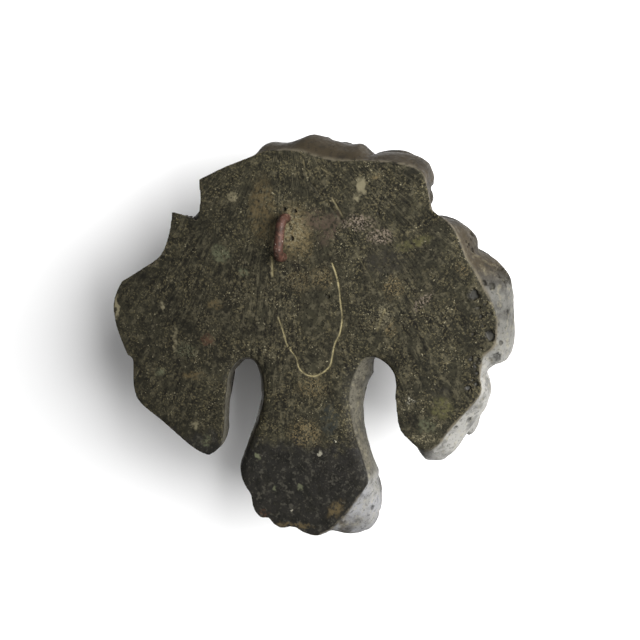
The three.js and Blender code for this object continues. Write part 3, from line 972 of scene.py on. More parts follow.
@dataclass
class Slab:
    """The body under the mane: flat at the back, and fullest some way in front of it."""

    step: float = 2.5
    normal_reach: float = 9.0
    depths: tuple[float, ...] = (-4, 5, 13, 25, 35, 43)
    swells: tuple[float, ...] = (0, 0.4, 0.82, 1, 0.75, 0.3)
    leans: tuple[float, ...] = (0, 0.05, 0.15, 0.35, 0.65, 1)
    fullest: float = 25
    levels: int = 18
    rounding: float = 3
    points: np.ndarray = field(init=False)
    swell: np.ndarray = field(init=False)
    lean: np.ndarray = field(init=False)
    outward: np.ndarray = field(init=False)

    def __post_init__(self) -> None:
        """Works out the back's edge from its stretches."""
        found = []
        for stretch in STRETCHES:
            knots = np.array(stretch.knots, float)
            steps = max(3, round(lengths_along(knots[:, :2])[-1] / self.step))
            found.append(spline(knots, steps + 1)[:-1])
        edge = np.vstack(found)
        self.points, self.swell, self.lean = edge[:, :2], edge[:, 2], edge[:, 3]
        reach = round(self.normal_reach / self.step)
        along = unit(np.roll(self.points, -reach, axis=0) - np.roll(self.points, reach, axis=0))
        x, z = self.points.T
        turn = np.sign(np.sum(x * np.roll(z, -1) - z * np.roll(x, -1)))
        self.outward = turn * np.column_stack([along[:, 1], -along[:, 0]])

    def share(self, depth: float, shares: tuple[float, ...]) -> float:
        """A profile's share at a depth, rounded except at the back.

        Args:
            depth: How far in front of the wall.
            shares: The profile at the slab's depths.

        Returns:
            The share.
        """
        known = (0, *self.depths[1:])
        sharp = np.interp([depth - self.rounding, depth, depth + self.rounding], known, shares)
        soft = sharp @ (0.25, 0.5, 0.25)
        return sharp[1] + (soft - sharp[1]) * max(0, min(1, depth / self.rounding))

    def edge(self, depth: float) -> np.ndarray:
        """The edge at a depth.

        Args:
            depth: How far in front of the wall.

        Returns:
            The edge's points.
        """
        move = self.swell * self.share(depth, self.swells) - self.lean * self.share(depth, self.leans)
        return self.points + self.outward * move[:, None]

    def rim_radius(self, angle: float, centre: np.ndarray) -> float:
        """How far the fullest edge is from the mane's centre in a direction.

        Args:
            angle: The direction, in radians from straight up.
            centre: The mane's centre.

        Returns:
            The farthest crossing.
        """
        direction = np.array([math.sin(angle), math.cos(angle)])
        a = self.edge(self.fullest) - centre
        b = np.roll(a, -1, axis=0)
        side_a = direction[0] * a[:, 1] - direction[1] * a[:, 0]
        side_b = direction[0] * b[:, 1] - direction[1] * b[:, 0]
        crosses = (side_a * side_b <= 0) & (side_a != side_b)
        share = (side_a[crosses] / (side_a[crosses] - side_b[crosses]))[:, None]
        hits = (a[crosses] + (b[crosses] - a[crosses]) * share) @ direction
        return float(hits.max())

    def mesh(self) -> Mesh:
        """The slab: a disc extruded level by level, each level drawn to the edge at its depth.

        Returns:
            The closed mesh.
        """
        count = len(self.points)
        bm = bmesh.new()
        bmesh.ops.create_circle(bm, cap_ends=True, segments=count, radius=1)
        face = bm.faces[:]
        for level in range(self.levels):
            grown = bmesh.ops.extrude_face_region(bm, geom=face, use_keep_orig=level == 0)["geom"]
            face = [item for item in grown if isinstance(item, bmesh.types.BMFace)]
            moved = [item for item in grown if isinstance(item, bmesh.types.BMVert)]
            bmesh.ops.translate(bm, verts=moved, vec=(0, 0, 1))
        bmesh.ops.recalc_face_normals(bm, faces=bm.faces)
        mesh = mesh_of(bm, "slab")
        x, y, z = coordinates(mesh).T
        index = np.round(np.arctan2(y, x) / (2 * np.pi) * count).astype(int) % count
        level = np.round(z).astype(int)
        depths = np.linspace(self.depths[0], self.depths[-1], self.levels + 1)
        edges = np.array([self.edge(depth) for depth in depths])
        edge = edges[level, index]
        place_vertices(mesh, np.column_stack([edge[:, 0], -depths[level], edge[:, 1]]))
        return mesh


@dataclass
class Scalp:
    """The rounded ground that the mane's inner locks lie on."""

    half: Triple = (92, 46, 62)
    centre: Triple = (0, -20, 23)
    segments: int = 64
    rings: int = 40

    def mesh(self) -> Mesh:
        """The scalp as a stretched sphere.

        Returns:
            The closed mesh.
        """
        bm = sphere(self.segments, self.rings)
        bmesh.ops.scale(bm, verts=bm.verts, vec=self.half)
        bmesh.ops.translate(bm, verts=bm.verts, vec=self.centre)
        return mesh_of(bm, "scalp")


# --- Hair --------------------------------------------------------------------------------------------


@dataclass(frozen=True)
class Lock:
    """A tapered lock of hair with carved strands.

    It has a root and a tip as x and z, a bow sideways, its half-width and half-height, the depth of its
    middle at root and tip, and a rise between them. strand is how far apart the grooves are.
    """

    root_at: Pair
    tip_at: Pair
    bow: float
    width: float
    height: float = 16
    root: float = 40
    tip: float = 31
    rise: float = 5
    strand: float = 5.2
    groove: float = 1.5
    strand_twist: float = 1.5
    strand_roundness: float = 0.7
    grooves_from: Pair = (27, 40)
    depth_ease: float = 1.6
    fullest_early: float = 0.8
    bluntness: float = 0.55
    segments: int = 72
    rings: int = 40

    def centre(self, t: np.ndarray) -> np.ndarray:
        """The lock's middle line.

        Args:
            t: Shares of the way from root to tip.

        Returns:
            One place for each share.
        """
        start, end = np.array(self.root_at, float), np.array(self.tip_at, float)
        along = end - start
        across = np.array([-along[1], along[0]]) / np.linalg.norm(along)
        rise = np.sin(np.pi * t)
        flat = start + along * t[:, None] + across * (self.bow * rise)[:, None]
        depth = self.root + (self.tip - self.root) * t**self.depth_ease + self.rise * rise
        return np.column_stack([flat[:, 0], -depth, flat[:, 1]])

    def mesh(self) -> Mesh:
        """The lock: a sphere drawn out along the middle line, with its strands cut in.

        Returns:
            The closed mesh.
        """
        mesh = mesh_of(sphere(self.segments, self.rings), "lock")
        x, y, z = coordinates(mesh).T
        t = np.arccos(np.clip(-z, -1, 1)) / np.pi
        round_angle = np.arctan2(y, x)
        nudge = 1e-3
        tangent = unit(self.centre(np.clip(t + nudge, 0, 1)) - self.centre(np.clip(t - nudge, 0, 1)))
        side = unit(np.cross(np.array([0, -1, 0]), tangent))
        up = np.cross(tangent, side)
        fullness = np.maximum(0, np.sin(np.pi * t**self.fullest_early)) ** self.bluntness
        radius = (self.width + self.height) / 2
        strands = round(np.pi * radius / self.strand)
        wave = np.abs(np.sin(strands * round_angle + self.strand_twist * np.sin(np.pi * t)))
        centre = self.centre(t)

        def surface(shrink: np.ndarray) -> np.ndarray:
            """The places on the lock where it is drawn in by a share of its radius."""
            across = side * (self.width * fullness * np.cos(round_angle) * shrink)[:, None]
            return centre + across + up * (self.height * fullness * np.sin(round_angle) * shrink)[:, None]

        carved = smoothstep(-surface(np.ones_like(t))[:, 1], *self.grooves_from)
        shrink = 1 - carved * self.groove / radius * (1 - wave**self.strand_roundness)
        place_vertices(mesh, surface(shrink))
        return mesh


@dataclass(frozen=True)
class Ring:
    """A ring of locks round the face.

    start and end are shares of the way from the face's edge to the rim, and sweep is how many degrees a
    lock turns downwards between them. An angle is a tip's, in degrees from straight up, positive to +X.
    """

    start: float
    end: float
    sweep: float
    shape: Lock
    angles: tuple[float, ...]


@dataclass
class Mane:
    """The locks round the face, down the two lobes and down the beard."""

    slab: Slab
    centre: Pair = (0, 8)
    face_radius: Pair = (54, 58)
    upright: float = 30
    bow: float = 4
    rings: tuple[Ring, ...] = (
        Ring(0.3, 0.95, 13, Lock((0, 0), (0, 0), 0, 14, 17, 34, 31, 5),
             (-109, -98, -88, -75, -54, -39, -15, -4, 12, 28, 43, 66, 88, 99, 110)),
        Ring(0.05, 0.72, 22, Lock((0, 0), (0, 0), 0, 13, 14, 44, 38, 8),
             (-106, -90, -74, -58, -43, -28, -10, 8, 25, 42, 57, 73, 89, 105)),
        Ring(-0.2, 0.4, 20, Lock((0, 0), (0, 0), 0, 11, 12, 52, 48, 7),
             (-104, -82, -61, -41, -21, 0, 21, 41, 61, 82, 104)),
    )
    lobes: tuple[Lock, ...] = (
        Lock((84, -20), (128, -66), 5, 14),
        Lock((78, -30), (106, -88), 8, 14),
        Lock((70, -40), (76, -108), 8, 12),
        Lock((60, -12), (92, -62), 8, 12),
        Lock((48, -16), (63, -50), 5, 10),
        Lock((-84, -20), (-115, -64), -5, 12),
        Lock((-78, -30), (-108, -92), -8, 14),
        Lock((-74, -44), (-86, -106), -7, 12),
        Lock((-60, -12), (-92, -62), -8, 12),
        Lock((-48, -16), (-66, -50), -5, 10),
    )
    beard: tuple[Lock, ...] = (
        Lock((0, -67), (-8, -167), 4, 14, 17, 60, 26, 4),
        Lock((10, -67), (18, -159), 4, 11, 15, 56, 24, 4),
        Lock((-10, -67), (-35, -159), 2, 13, 16, 54, 26, 4),
        Lock((15, -64), (34, -151), -3, 11, 15, 46, 22, 3),
        Lock((18, -60), (46, -126), -6, 9, 15, 36, 18, 0),
        Lock((-17, -60), (-43, -122), 7, 7, 15, 36, 18, 0),
        Lock((-19, -109), (-46, -149), -3, 9, 13, 36, 28, 0),
    )

    def place(self, degrees: float, share: float) -> Pair:
        """A place round the mane's centre.

        Args:
            degrees: The direction from straight up.
            share: 0 on the face's edge, 1 on the rim.

        Returns:
            The place as x and z.
        """
        angle = math.radians(degrees)
        s, c = math.sin(angle), math.cos(angle)
        inner = 1 / math.hypot(s / self.face_radius[0], c / self.face_radius[1])
        outer = self.slab.rim_radius(angle, np.array(self.centre))
        radius = inner + (outer - inner) * share
        return self.centre[0] + radius * s, self.centre[1] + radius * c

    def locks(self) -> list[Lock]:
        """Every lock. Those near the top of the head stand upright, the others sweep down.

        Returns:
            The locks.
        """
        found = [*self.lobes, *self.beard]
        for ring in self.rings:
            for degrees in ring.angles:
                sweep = ring.sweep * max(-1, min(1, degrees / self.upright))
                found.append(replace(
                    ring.shape, root_at=self.place(degrees - sweep, ring.start),
                    tip_at=self.place(degrees, ring.end), bow=self.bow * np.sign(degrees)))
        return found


# --- Face --------------------------------------------------------------------------------------------


class Side(Enum):
    """The two sides of the head, as the sign of x."""

    LEFT = 1
    RIGHT = -1


@dataclass(frozen=True)
class Form:
    """A rounded form of the face: where it is, its half-widths and its height.

    A mound stands on a base depth and blends into what is under it. A swelling has no base: it is added,
    and one with a negative height is a hollow.
    """

    at: Pair
    half: Pair
    height: float
    base: float = 0
    blend: float = 4

    def reach(self, x: np.ndarray, z: np.ndarray) -> np.ndarray:
        """The squared distance from the form's middle, 1 on its outline."""
        return ((x - self.at[0]) / self.half[0]) ** 2 + ((z - self.at[1]) / self.half[1]) ** 2

    def swelling(self, x: np.ndarray, z: np.ndarray) -> np.ndarray:
        """The depth it adds, fading out over its half-widths."""
        return self.height * np.exp(-self.reach(x, z))

    def ridge(self, x: np.ndarray, z: np.ndarray, thickness: float) -> np.ndarray:
        """The depth it adds as a raised rim along its outline."""
        return self.height * bell(np.sqrt(self.reach(x, z)) - 1, thickness)

    def mound(self, x: np.ndarray, z: np.ndarray) -> np.ndarray:
        """Its own depth, falling away outside its outline.

        Args:
            x: Places across the face, from its middle.
            z: Places up the face.

        Returns:
            The depth at each place.
        """
        q = self.reach(x, z)
        inside = self.base + self.height * np.sqrt(np.maximum(0, 1 - q))
        return np.where(q < 1, inside, self.base - self.height * (q - 1))

    def onto(self, depth: np.ndarray, x: np.ndarray, z: np.ndarray) -> np.ndarray:
        """A depth with the mound blended in."""
        return smooth_max(depth, self.mound(x, z), self.blend)


@dataclass
class Face:
    """The face, symmetrical about x = 0: an oval above, drawn in to the jaw between the two arches."""

    top: float = 62
    bottom: float = -80
    back: float = 20
    edge_depth: float = 30
    edge_share: float = 0.24
    oval: Pair = (63, 65)
    jaw: Pair = (30, 5)
    columns: int = 170
    rows: int = 200
    skull: Form = Form((0, 10), (68, 84), 34, 36)
    forehead_boss: Form = Form((15, 46), (12, 14), 4)
    forehead_furrow: Form = Form((0, 44), (5, 20), -3)
    cheek: Form = Form((39, -8), (27, 33), 20, 44, 8)
    eye_socket: Form = Form((26, 18), (13, 9), -10)
    eyeball: Form = Form((27, 18), (11.5, 9.5), 10, 54, 1.5)
    eyelid: Form = Form((27, 18), (11, 8), 1.8)
    pupil: Form = Form((25.5, 18), (2.6, 2.8), -2.2)
    nostril_wing: Form = Form((11, -20), (9, 9), 15, 80, 3)
    nostril: Form = Form((8.5, -25), (4, 3.2), -8)
    whisker_pad: Form = Form((15, -40), (19, 16), 35, 58, 4)
    lip_cleft: Form = Form((0, -40), (2.5, 9), -3)
    chin: Form = Form((0, -65), (22, 16), 31, 52, 4)
    whiskers: tuple[Pair, ...] = ((12, -33), (18, -32), (24, -32), (11, -38.5), (17.5, -38), (24, -37.5),
                                  (13, -44), (20, -43.5))
    whisker_hole: Pair = (1.3, 1.2)
    lid_thickness: float = 0.16
    nose_blend: float = 5
    brow_height: float = 9
    brow_level: float = 26
    brow_arch: float = 9
    brow_half: float = 6.5
    bridge_depth: float = 74
    nose_root: float = 34
    nose_tip: float = -14
    nose_rise: float = 25
    nose_half: float = 13
    mouth_level: float = -50
    mouth_droop: float = 8
    mouth_depth: float = 9
    mouth_half: Pair = (29, 3.5)
    fold_depth: float = 0.8
    folds_at: Pair = (0, 22)
    folds_half: Pair = (13, 9)
    fur_depth: float = 0.9
    fur_strands: float = 34
    beard_strands: float = 0.62
    beard_from: Pair = (58, 64)

    def brow(self, x: np.ndarray, z: np.ndarray) -> np.ndarray:
        """The ridge of the brow.

        Args:
            x: Places across the face, from its middle.
            z: Places up the face.

        Returns:
            How far it stands out at each place.
        """
        along = np.clip((x - 8) / 60, 0, 1)
        ridge_z = self.brow_level + self.brow_arch * np.sin(np.pi * along)
        reach = smoothstep(x, 3, 14) * (1 - smoothstep(x, 38, 54))
        return self.brow_height * reach * bell(z - ridge_z, self.brow_half)

    def nose(self, x: np.ndarray, z: np.ndarray) -> np.ndarray:
        """The nose from its root between the brows to its tip, and the slope under the tip.

        Args:
            x: Places across the face, from its middle.
            z: Places up the face.

        Returns:
            The depth of its surface at each place.
        """
        down = np.clip((self.nose_root - z) / (self.nose_root - self.nose_tip), 0, 1)
        under = np.clip((self.nose_tip - z) / 20, 0, 2)
        crest = self.bridge_depth + self.nose_rise * down**1.3 - 15 * under**1.6
        return crest - 13 * (x / (self.nose_half + 5 * down)) ** 3.2

    def mouth(self, x: np.ndarray, z: np.ndarray) -> np.ndarray:
        """How deep the mouth is cut at a place.

        Args:
            x: Places across the face, from its middle.
            z: Places up the face.

        Returns:
            The cut at each place.
        """
        width, height = self.mouth_half
        line_z = self.mouth_level - self.mouth_droop * np.sin(np.pi * np.clip(x / width, 0, 1))
        return self.mouth_depth * (1 - smoothstep(x, 24, 32)) * bell(z - line_z, height)

    def wrinkles(self, x: np.ndarray, z: np.ndarray) -> np.ndarray:
        """Fine carving: folds over the nose's bridge and strands of fur on cheeks, brow and chin.

        Args:
            x: Places across the face, from its middle.
            z: Places up the face.

        Returns:
            How far it stands out at each place.
        """
        (middle_x, middle_z), (half_x, half_z) = self.folds_at, self.folds_half
        folds = self.fold_depth * np.sin(z * 1.25 - x * 0.35)
        folds = folds * bell(x - middle_x, half_x) * bell(z - middle_z, half_z)
        angle = np.arctan2(x, z + 12)
        radius = np.hypot(x, z + 12)
        strands = np.abs(np.sin(angle * self.fur_strands + 1.6 * np.sin(radius / 8))) ** 0.7 - 0.6
        furry = smoothstep(np.hypot(x / 1.15, (z + 2)), 34, 50)
        beard = np.abs(np.sin(x * self.beard_strands + 0.8 * np.sin(z / 6))) ** 0.7 - 0.6
        chin = smoothstep(-z, *self.beard_from)
        return folds + self.fur_depth * (strands * furry * (1 - chin) + beard * chin)

    def depth(self, signed_x: np.ndarray, z: np.ndarray) -> np.ndarray:
        """The depth of the face's surface.

        Args:
            signed_x: Places across the face.
            z: Places up the face.

        Returns:
            How far in front of the wall the surface is.
        """
        x = np.abs(signed_x)
        depth = self.skull.mound(x, z)
        depth += self.forehead_boss.swelling(x, z) + self.forehead_furrow.swelling(x, z)
        depth = self.cheek.onto(depth, x, z)
        depth += self.brow(x, z) + self.eye_socket.swelling(x, z)
        depth = self.eyeball.onto(depth, x, z)
        depth += self.eyelid.ridge(x, z, self.lid_thickness) + self.pupil.swelling(x, z)
        depth = smooth_max(depth, self.nose(x, z), self.nose_blend)
        depth = self.nostril_wing.onto(depth, x, z) + self.nostril.swelling(x, z)
        depth = self.whisker_pad.onto(depth, x, z) + self.lip_cleft.swelling(x, z)
        depth = self.chin.onto(depth, x, z)
        radius, hole = self.whisker_hole
        for place in self.whiskers:
            depth += Form(place, (radius, radius), -hole).swelling(x, z)
        return np.maximum(self.edge_depth, depth - self.mouth(x, z) + self.wrinkles(x, z))

    def half_width(self, z: np.ndarray) -> np.ndarray:
        """Half the face's width at a height.

        Args:
            z: Places up the face.

        Returns:
            The half-width at each place.
        """
        width, height = self.oval
        above = width * np.sqrt(np.maximum(0, 1 - (z / height) ** 2))
        jaw_width, narrowing = self.jaw
        jaw = width + (jaw_width - width) * smoothstep(-z, 14, 44) - narrowing * smoothstep(-z, 50, 80)
        return np.where(z > 0, above, jaw)

    def mesh(self) -> Mesh:
        """The face: a grid extruded into a box, its front shaped and its back inside the body.

        Returns:
            The closed mesh.
        """
        bm = bmesh.new()
        bmesh.ops.create_grid(bm, x_segments=self.columns, y_segments=self.rows, size=1)
        grown = bmesh.ops.extrude_face_region(bm, geom=bm.faces[:], use_keep_orig=True)["geom"]
        front = [item for item in grown if isinstance(item, bmesh.types.BMVert)]
        bmesh.ops.translate(bm, verts=front, vec=(0, 0, 1))
        bmesh.ops.recalc_face_normals(bm, faces=bm.faces)
        mesh = mesh_of(bm, "face")
        u, v, level = coordinates(mesh).T
        z = self.bottom + (self.top - self.bottom) * (v + 1) / 2
        x = u * self.half_width(z)
        from_edge = np.minimum(1 - np.abs(u), 1 - np.abs(v))
        rise = smoothstep(from_edge, 0, self.edge_share)
        surface = self.edge_depth + (self.depth(x, z) - self.edge_depth) * rise
        place_vertices(mesh, np.column_stack([x, -np.where(level > 0.5, surface, self.back), z]))
        return mesh


@dataclass(frozen=True)
class Ear:
    """A rounded ear with a hollow front, standing out of the mane."""

    side: Side
    at: Triple = (60, -58, 48)
    half: Triple = (16, 12, 18.4)
    tilt: float = 40
    hollow: float = 13
    rim: float = 0.75
    segments: int = 64
    rings: int = 48

    def mesh(self) -> Mesh:
        """The ear as a sphere whose front is pressed in, turned outwards.

        Returns:
            The closed mesh.
        """
        mesh = mesh_of(sphere(self.segments, self.rings), "ear")
        place = coordinates(mesh)
        inward = np.clip(1 - np.hypot(place[:, 0], place[:, 2]) / self.rim, 0, 1)
        pressed = np.where(place[:, 1] < 0, self.hollow * smoothstep(inward, 0, 1), 0)
        tufts = 0.8 * np.abs(np.sin(place[:, 0] * 14)) * smoothstep(inward, 0.05, 0.4) * (place[:, 1] < 0)
        place = place * self.half
        place[:, 1] += pressed - tufts
        turn = np.array(Matrix.Rotation(self.side.value * math.radians(self.tilt), 3, "Y"))
        centre = np.array(self.at) * (self.side.value, 1, 1)
        place_vertices(mesh, place @ turn.T + centre)
        return mesh


# --- Wear --------------------------------------------------------------------------------------------


@dataclass(frozen=True)
class Pit:
    """A round hole, chip or bubble in the surface: its middle, radius and depth, and a raised rim."""

    at: Triple
    radius: float
    depth: float
    rim: float = 0.0


@dataclass(frozen=True)
class Groove:
    """A line cut or scratched into the flat back: its points as x and z, half-width and depth."""

    line: list[Pair] | np.ndarray
    half_width: float
    depth: float
    dust: float = 0.0


# The U-shaped line scratched below the loop
U_LINE = Groove(spline(np.array([
    (17.6, -12.4), (14.1, -22.1), (11.3, -30.8), (8.7, -34.5), (4.6, -40), (3.2, -45.4), (-0.7, -49.8),
    (-7.6, -51.4), (-14.4, -48.2), (-19, -43.5), (-20.4, -37.6), (-22.4, -28.4), (-25.7, -21.7),
    (-27.3, -11.5), (-26.1, -1.2), (-25, 9), (-23, 18), (-20.3, 24.9)]), 60), 0.5, 0.5, 1.0)

GROOVES = [
    U_LINE,
    Groove([(-20.2, 68), (-27.5, 55.9)], 0.5, 0.3, 0.4),
    Groove([(-12.7, 87.5), (-20.9, 82.3)], 0.5, 0.25, 0.3),
    Groove([(-6.5, 76.4), (-29.2, 50.4)], 1.0, 0.4),
    Groove([(-32.6, 38.7), (-53.8, 5)], 0.6, 0.15, 0.1),
    Groove([(22.1, 28.4), (21.4, 15.6)], 0.8, 0.4, 0.5),
    Groove([(-56.5, -4.8), (-53.9, -10.2), (-51.2, -18.2)], 0.8, 0.25, 0.4),
]

# The edges of the two arches and the column between them, then those of the lobes' inner sides
ARCHES = (
    [(52, -47), (40, -38.5), (32, -41), (27, -49), (26.5, -67), (30.5, -85), (38, -102), (44, -114)],
    [(-60, -45), (-46, -35), (-39, -36.5), (-33, -43), (-28, -55), (-28.5, -71), (-34, -90), (-42, -111)],
)

LOBE_INSIDES = (
    [(54.5, -53), (57, -72), (58, -92), (61, -105), (66, -110)],
    [(-62.5, -48), (-64, -66), (-67, -84), (-74, -92)],
)


def scattered_pits() -> list[Pit]:
    """Small bubbles all over the back, and a ragged row along its worn edge.

    Returns:
        The pits.
    """
    draw = np.random.default_rng(7)
    all_over = (44, 0, 0.6, (-105, 105), (-60, 85), (0.5, 1.0))
    along_edge = (16, -116, 0.7, (-4, 3), (-56, -33), (0.7, 1.6))
    found = []
    for count, middle, share, *spans in (all_over, along_edge):
        drawn = zip(*(draw.uniform(*span, count) for span in spans))
        found += [Pit((middle + x, 0, z), radius, share * radius) for x, z, radius in drawn]
    return found


# Bubbles and chips in the back, then those in the sides
PITS = [
    Pit((-114.4, 0, 6.4), 3.9, 1.4, 0.3),
    Pit((-122.5, 0, 1.6), 1.4, 0.7),
    Pit((-125.9, 0, -4.8), 1.4, 0.7),
    Pit((-117.6, 0, -1.5), 1.6, 0.9),
    Pit((-119.5, 0, -7), 1.4, 0.9),
    Pit((-121.6, 0, -12.9), 1.3, 0.9),
    *(Pit((-119.7 - 1.5 * i, 0, -11.6), 0.7, 0.7) for i in range(6)),
    Pit((-125.3, 0, -19.2), 3.8, 2.1),
    Pit((-114.7, 0, -18.4), 1.6, 0.9),
    Pit((-120, 0, -27.9), 1.4, 0.9),
    Pit((-111.7, 0, -54.1), 2.2, 1.2),
    Pit((13.1, 0, 60.2), 1.7, 1.8),
    Pit((5.7, 0, 59.3), 1.5, 1.6),
    Pit((7.5, 0, 41.4), 1.7, 1.6),
    Pit((-15.5, 0, 3.9), 1.2, 0.9),
    Pit((-17.4, 0, 2.6), 1.3, 0.9),
    *scattered_pits(),
    Pit((-111.8, -11.7, 34.6), 1.8, 1.4),
    Pit((-109.7, -19, 44.7), 2.2, 1.6),
    Pit((-108.2, -6.4, 40.6), 0.9, 0.8),
    Pit((-109.8, -8.3, 38.5), 1.0, 0.9),
    Pit((-110.3, -11.8, 41.5), 0.9, 0.8),
    Pit((-109.3, -6.6, 37.1), 0.9, 0.8),
    Pit((-131.5, -17, 18.9), 7.5, 2.2),
    Pit((-120.7, -2.5, 14.4), 2.0, 1.4),
    Pit((-125.5, -4.7, 12.5), 2.2, 1.4),
    Pit((-135.1, -10.9, -4.5), 1.6, 1.1),
    Pit((-124.6, -1.6, -7.7), 1.1, 0.8),
    Pit((-130.7, -2.7, -11.9), 1.0, 0.8),
    Pit((-132, -5.2, -24.2), 1.8, 1.1),
    Pit((-128.4, -7.5, -34.7), 4.2, 1.4),
    Pit((-111.3, -8.5, -76.4), 2.0, 1.2),
    Pit((-103.4, -3.8, -81.1), 1.6, 1.1),
    Pit((-45.3, -13.3, -142.6), 2.0, 1.2),
    Pit((-38.4, -19, -61.5), 1.8, 1.2),
]


# --- The casting -------------------------------------------------------------------------------------


@dataclass
class LionHead:
    """The casting: body, mane, beard and face in one skin, flat at the back."""

    slab: Slab = field(default_factory=Slab)
    scalp: Scalp = field(default_factory=Scalp)
    face: Face = field(default_factory=Face)
    voxel: float = 0.9
    quick_voxel: float = 1.6
    triangles: int = 150000
    fine_edge: float = 0.6
    splits: int = 3
    split_margin: float = 0.3
    # How deep in front of the wall the back's own marks reach
    back_skin: float = 2.5
    arch_rounds: int = 60
    arch_fade: Pair = (9, 18)
    arch_depth: Pair = (30, 45)
    furrow_rounds: int = 14
    # Height, spacing and draw of the lumps in the sides, in the back, along a scratch and round a pit
    side_lumps: tuple[Triple, ...] = ((1.3, 24, 1), (0.5, 9, 2), (0.18, 3.5, 3))
    back_sunk: float = 0.55
    back_lumps: tuple[Triple, ...] = ((0.35, 30, 4), (0.16, 8, 5), (0.1, 3, 6))
    scratch_lumps: tuple[Triple, ...] = ((0.5, 3.5, 21),)
    pit_lumps: tuple[Triple, ...] = ((0.34, 1.9, 22), (0.16, 0.8, 23))

    def forms(self) -> list[Mesh]:
        """The closed forms that the casting is made of.

        Returns:
            Their meshes.
        """
        locks = Mane(self.slab).locks()
        log.info("lion head: %d locks", len(locks))
        return [self.slab.mesh(), self.scalp.mesh(), self.face.mesh(),
                *(lock.mesh() for lock in locks), *(Ear(side).mesh() for side in Side)]

    def skin(self) -> Mesh:
        """One skin over all the forms, cut flat at the wall.

        Returns:
            The closed mesh.
        """
        bm = bmesh_of(*self.forms())
        bmesh.ops.remove_doubles(bm, verts=bm.verts, dist=1e-4)
        bmesh.ops.recalc_face_normals(bm, faces=bm.faces)
        everything = bm.verts[:] + bm.edges[:] + bm.faces[:]
        bmesh.ops.bisect_plane(bm, geom=everything, plane_co=(0, 0, 0), plane_no=(0, 1, 0), clear_outer=True)
        rims = [edge for edge in bm.edges if len(edge.link_faces) == 1]
        bmesh.ops.edgeloop_fill(bm, edges=rims)
        voxel = self.voxel
        mesh = with_modifiers(
            mesh_of(bm, "forms"),
            ("REMESH", {"mode": "VOXEL", "voxel_size": voxel}),
            ("SMOOTH", {"factor": 0.5, "iterations": 2}),
        )
        return outer_skin(mesh)

    def arch_share(self, places: np.ndarray, lines: tuple[list[Pair], ...]) -> np.ndarray:
        """How much a place belongs to the column's sides and the arches, whose edges are well rounded.

        Args:
            places: Places in millimetres.
            lines: Where they run on the back.

        Returns:
            1 there, fading to 0.
        """
        away = np.min([line_distance(places[:, ::2], line) for line in lines], axis=0)
        return (1 - smoothstep(away, *self.arch_fade)) * (1 - smoothstep(-places[:, 1], *self.arch_depth))

    def weathered(self, mesh: Mesh) -> None:
        """Makes the sides lumpy and the flat back a little uneven, always inwards from the wall.

        Args:
            mesh: The casting, in millimetres.
        """
        places = coordinates(mesh)
        near = self.arch_share(places, ARCHES)[:, None]
        places += near * (neighbour_mean(mesh, places, self.arch_rounds) - places)
        place_vertices(mesh, places)
        normals = coordinates(mesh, "normal")
        flat = smoothstep(normals[:, 1], 0.3, 0.9) * smoothstep(places[:, 1], -2.5, -0.8)
        side = smoothstep(-places[:, 1], 2, 7)
        carved = smoothstep(-places[:, 1], 36, 44)
        broad = lumpiness(places, self.side_lumps)
        hollow = lumpiness(places, self.back_lumps, self.back_sunk)
        places += normals * (broad * side * (1 - 0.75 * carved))[:, None]
        places[:, 1] -= np.maximum(0, hollow) * flat
        place_vertices(mesh, places)

    def refined(self, mesh: Mesh) -> Mesh:
        """Splits the faces round the cut lines and pits, so that they have clean edges.

        Args:
            mesh: The casting. It is used up.

        Returns:
            The new mesh.
        """
        bm = bmesh_of(mesh)
        for _ in range(self.splits):
            ends = np.array([[*edge.verts[0].co, *edge.verts[1].co] for edge in bm.edges])
            starts, stops = ends[:, :3], ends[:, 3:]
            near = np.zeros(len(ends), bool)
            for points in (starts, (starts + stops) / 2, stops):
                for groove in GROOVES:
                    reach = 2 * groove.half_width + self.split_margin
                    close = line_distance(points[:, ::2], groove.line) < reach
                    near |= close & (points[:, 1] > -self.back_skin)
                for pit in PITS:
                    reach = 1.3 * pit.radius + self.split_margin
                    near |= np.linalg.norm(points - pit.at, axis=1) < reach
            near &= np.linalg.norm(starts - stops, axis=1) > self.fine_edge
            bm.edges.ensure_lookup_table()
            split = [bm.edges[i] for i in np.flatnonzero(near)]
            bmesh.ops.subdivide_edges(bm, edges=split, cuts=1, use_grid_fill=True)
            bmesh.ops.triangulate(bm, faces=[face for face in bm.faces if len(face.verts) > 3])
        return mesh_of(bm, "lion_head_casting")

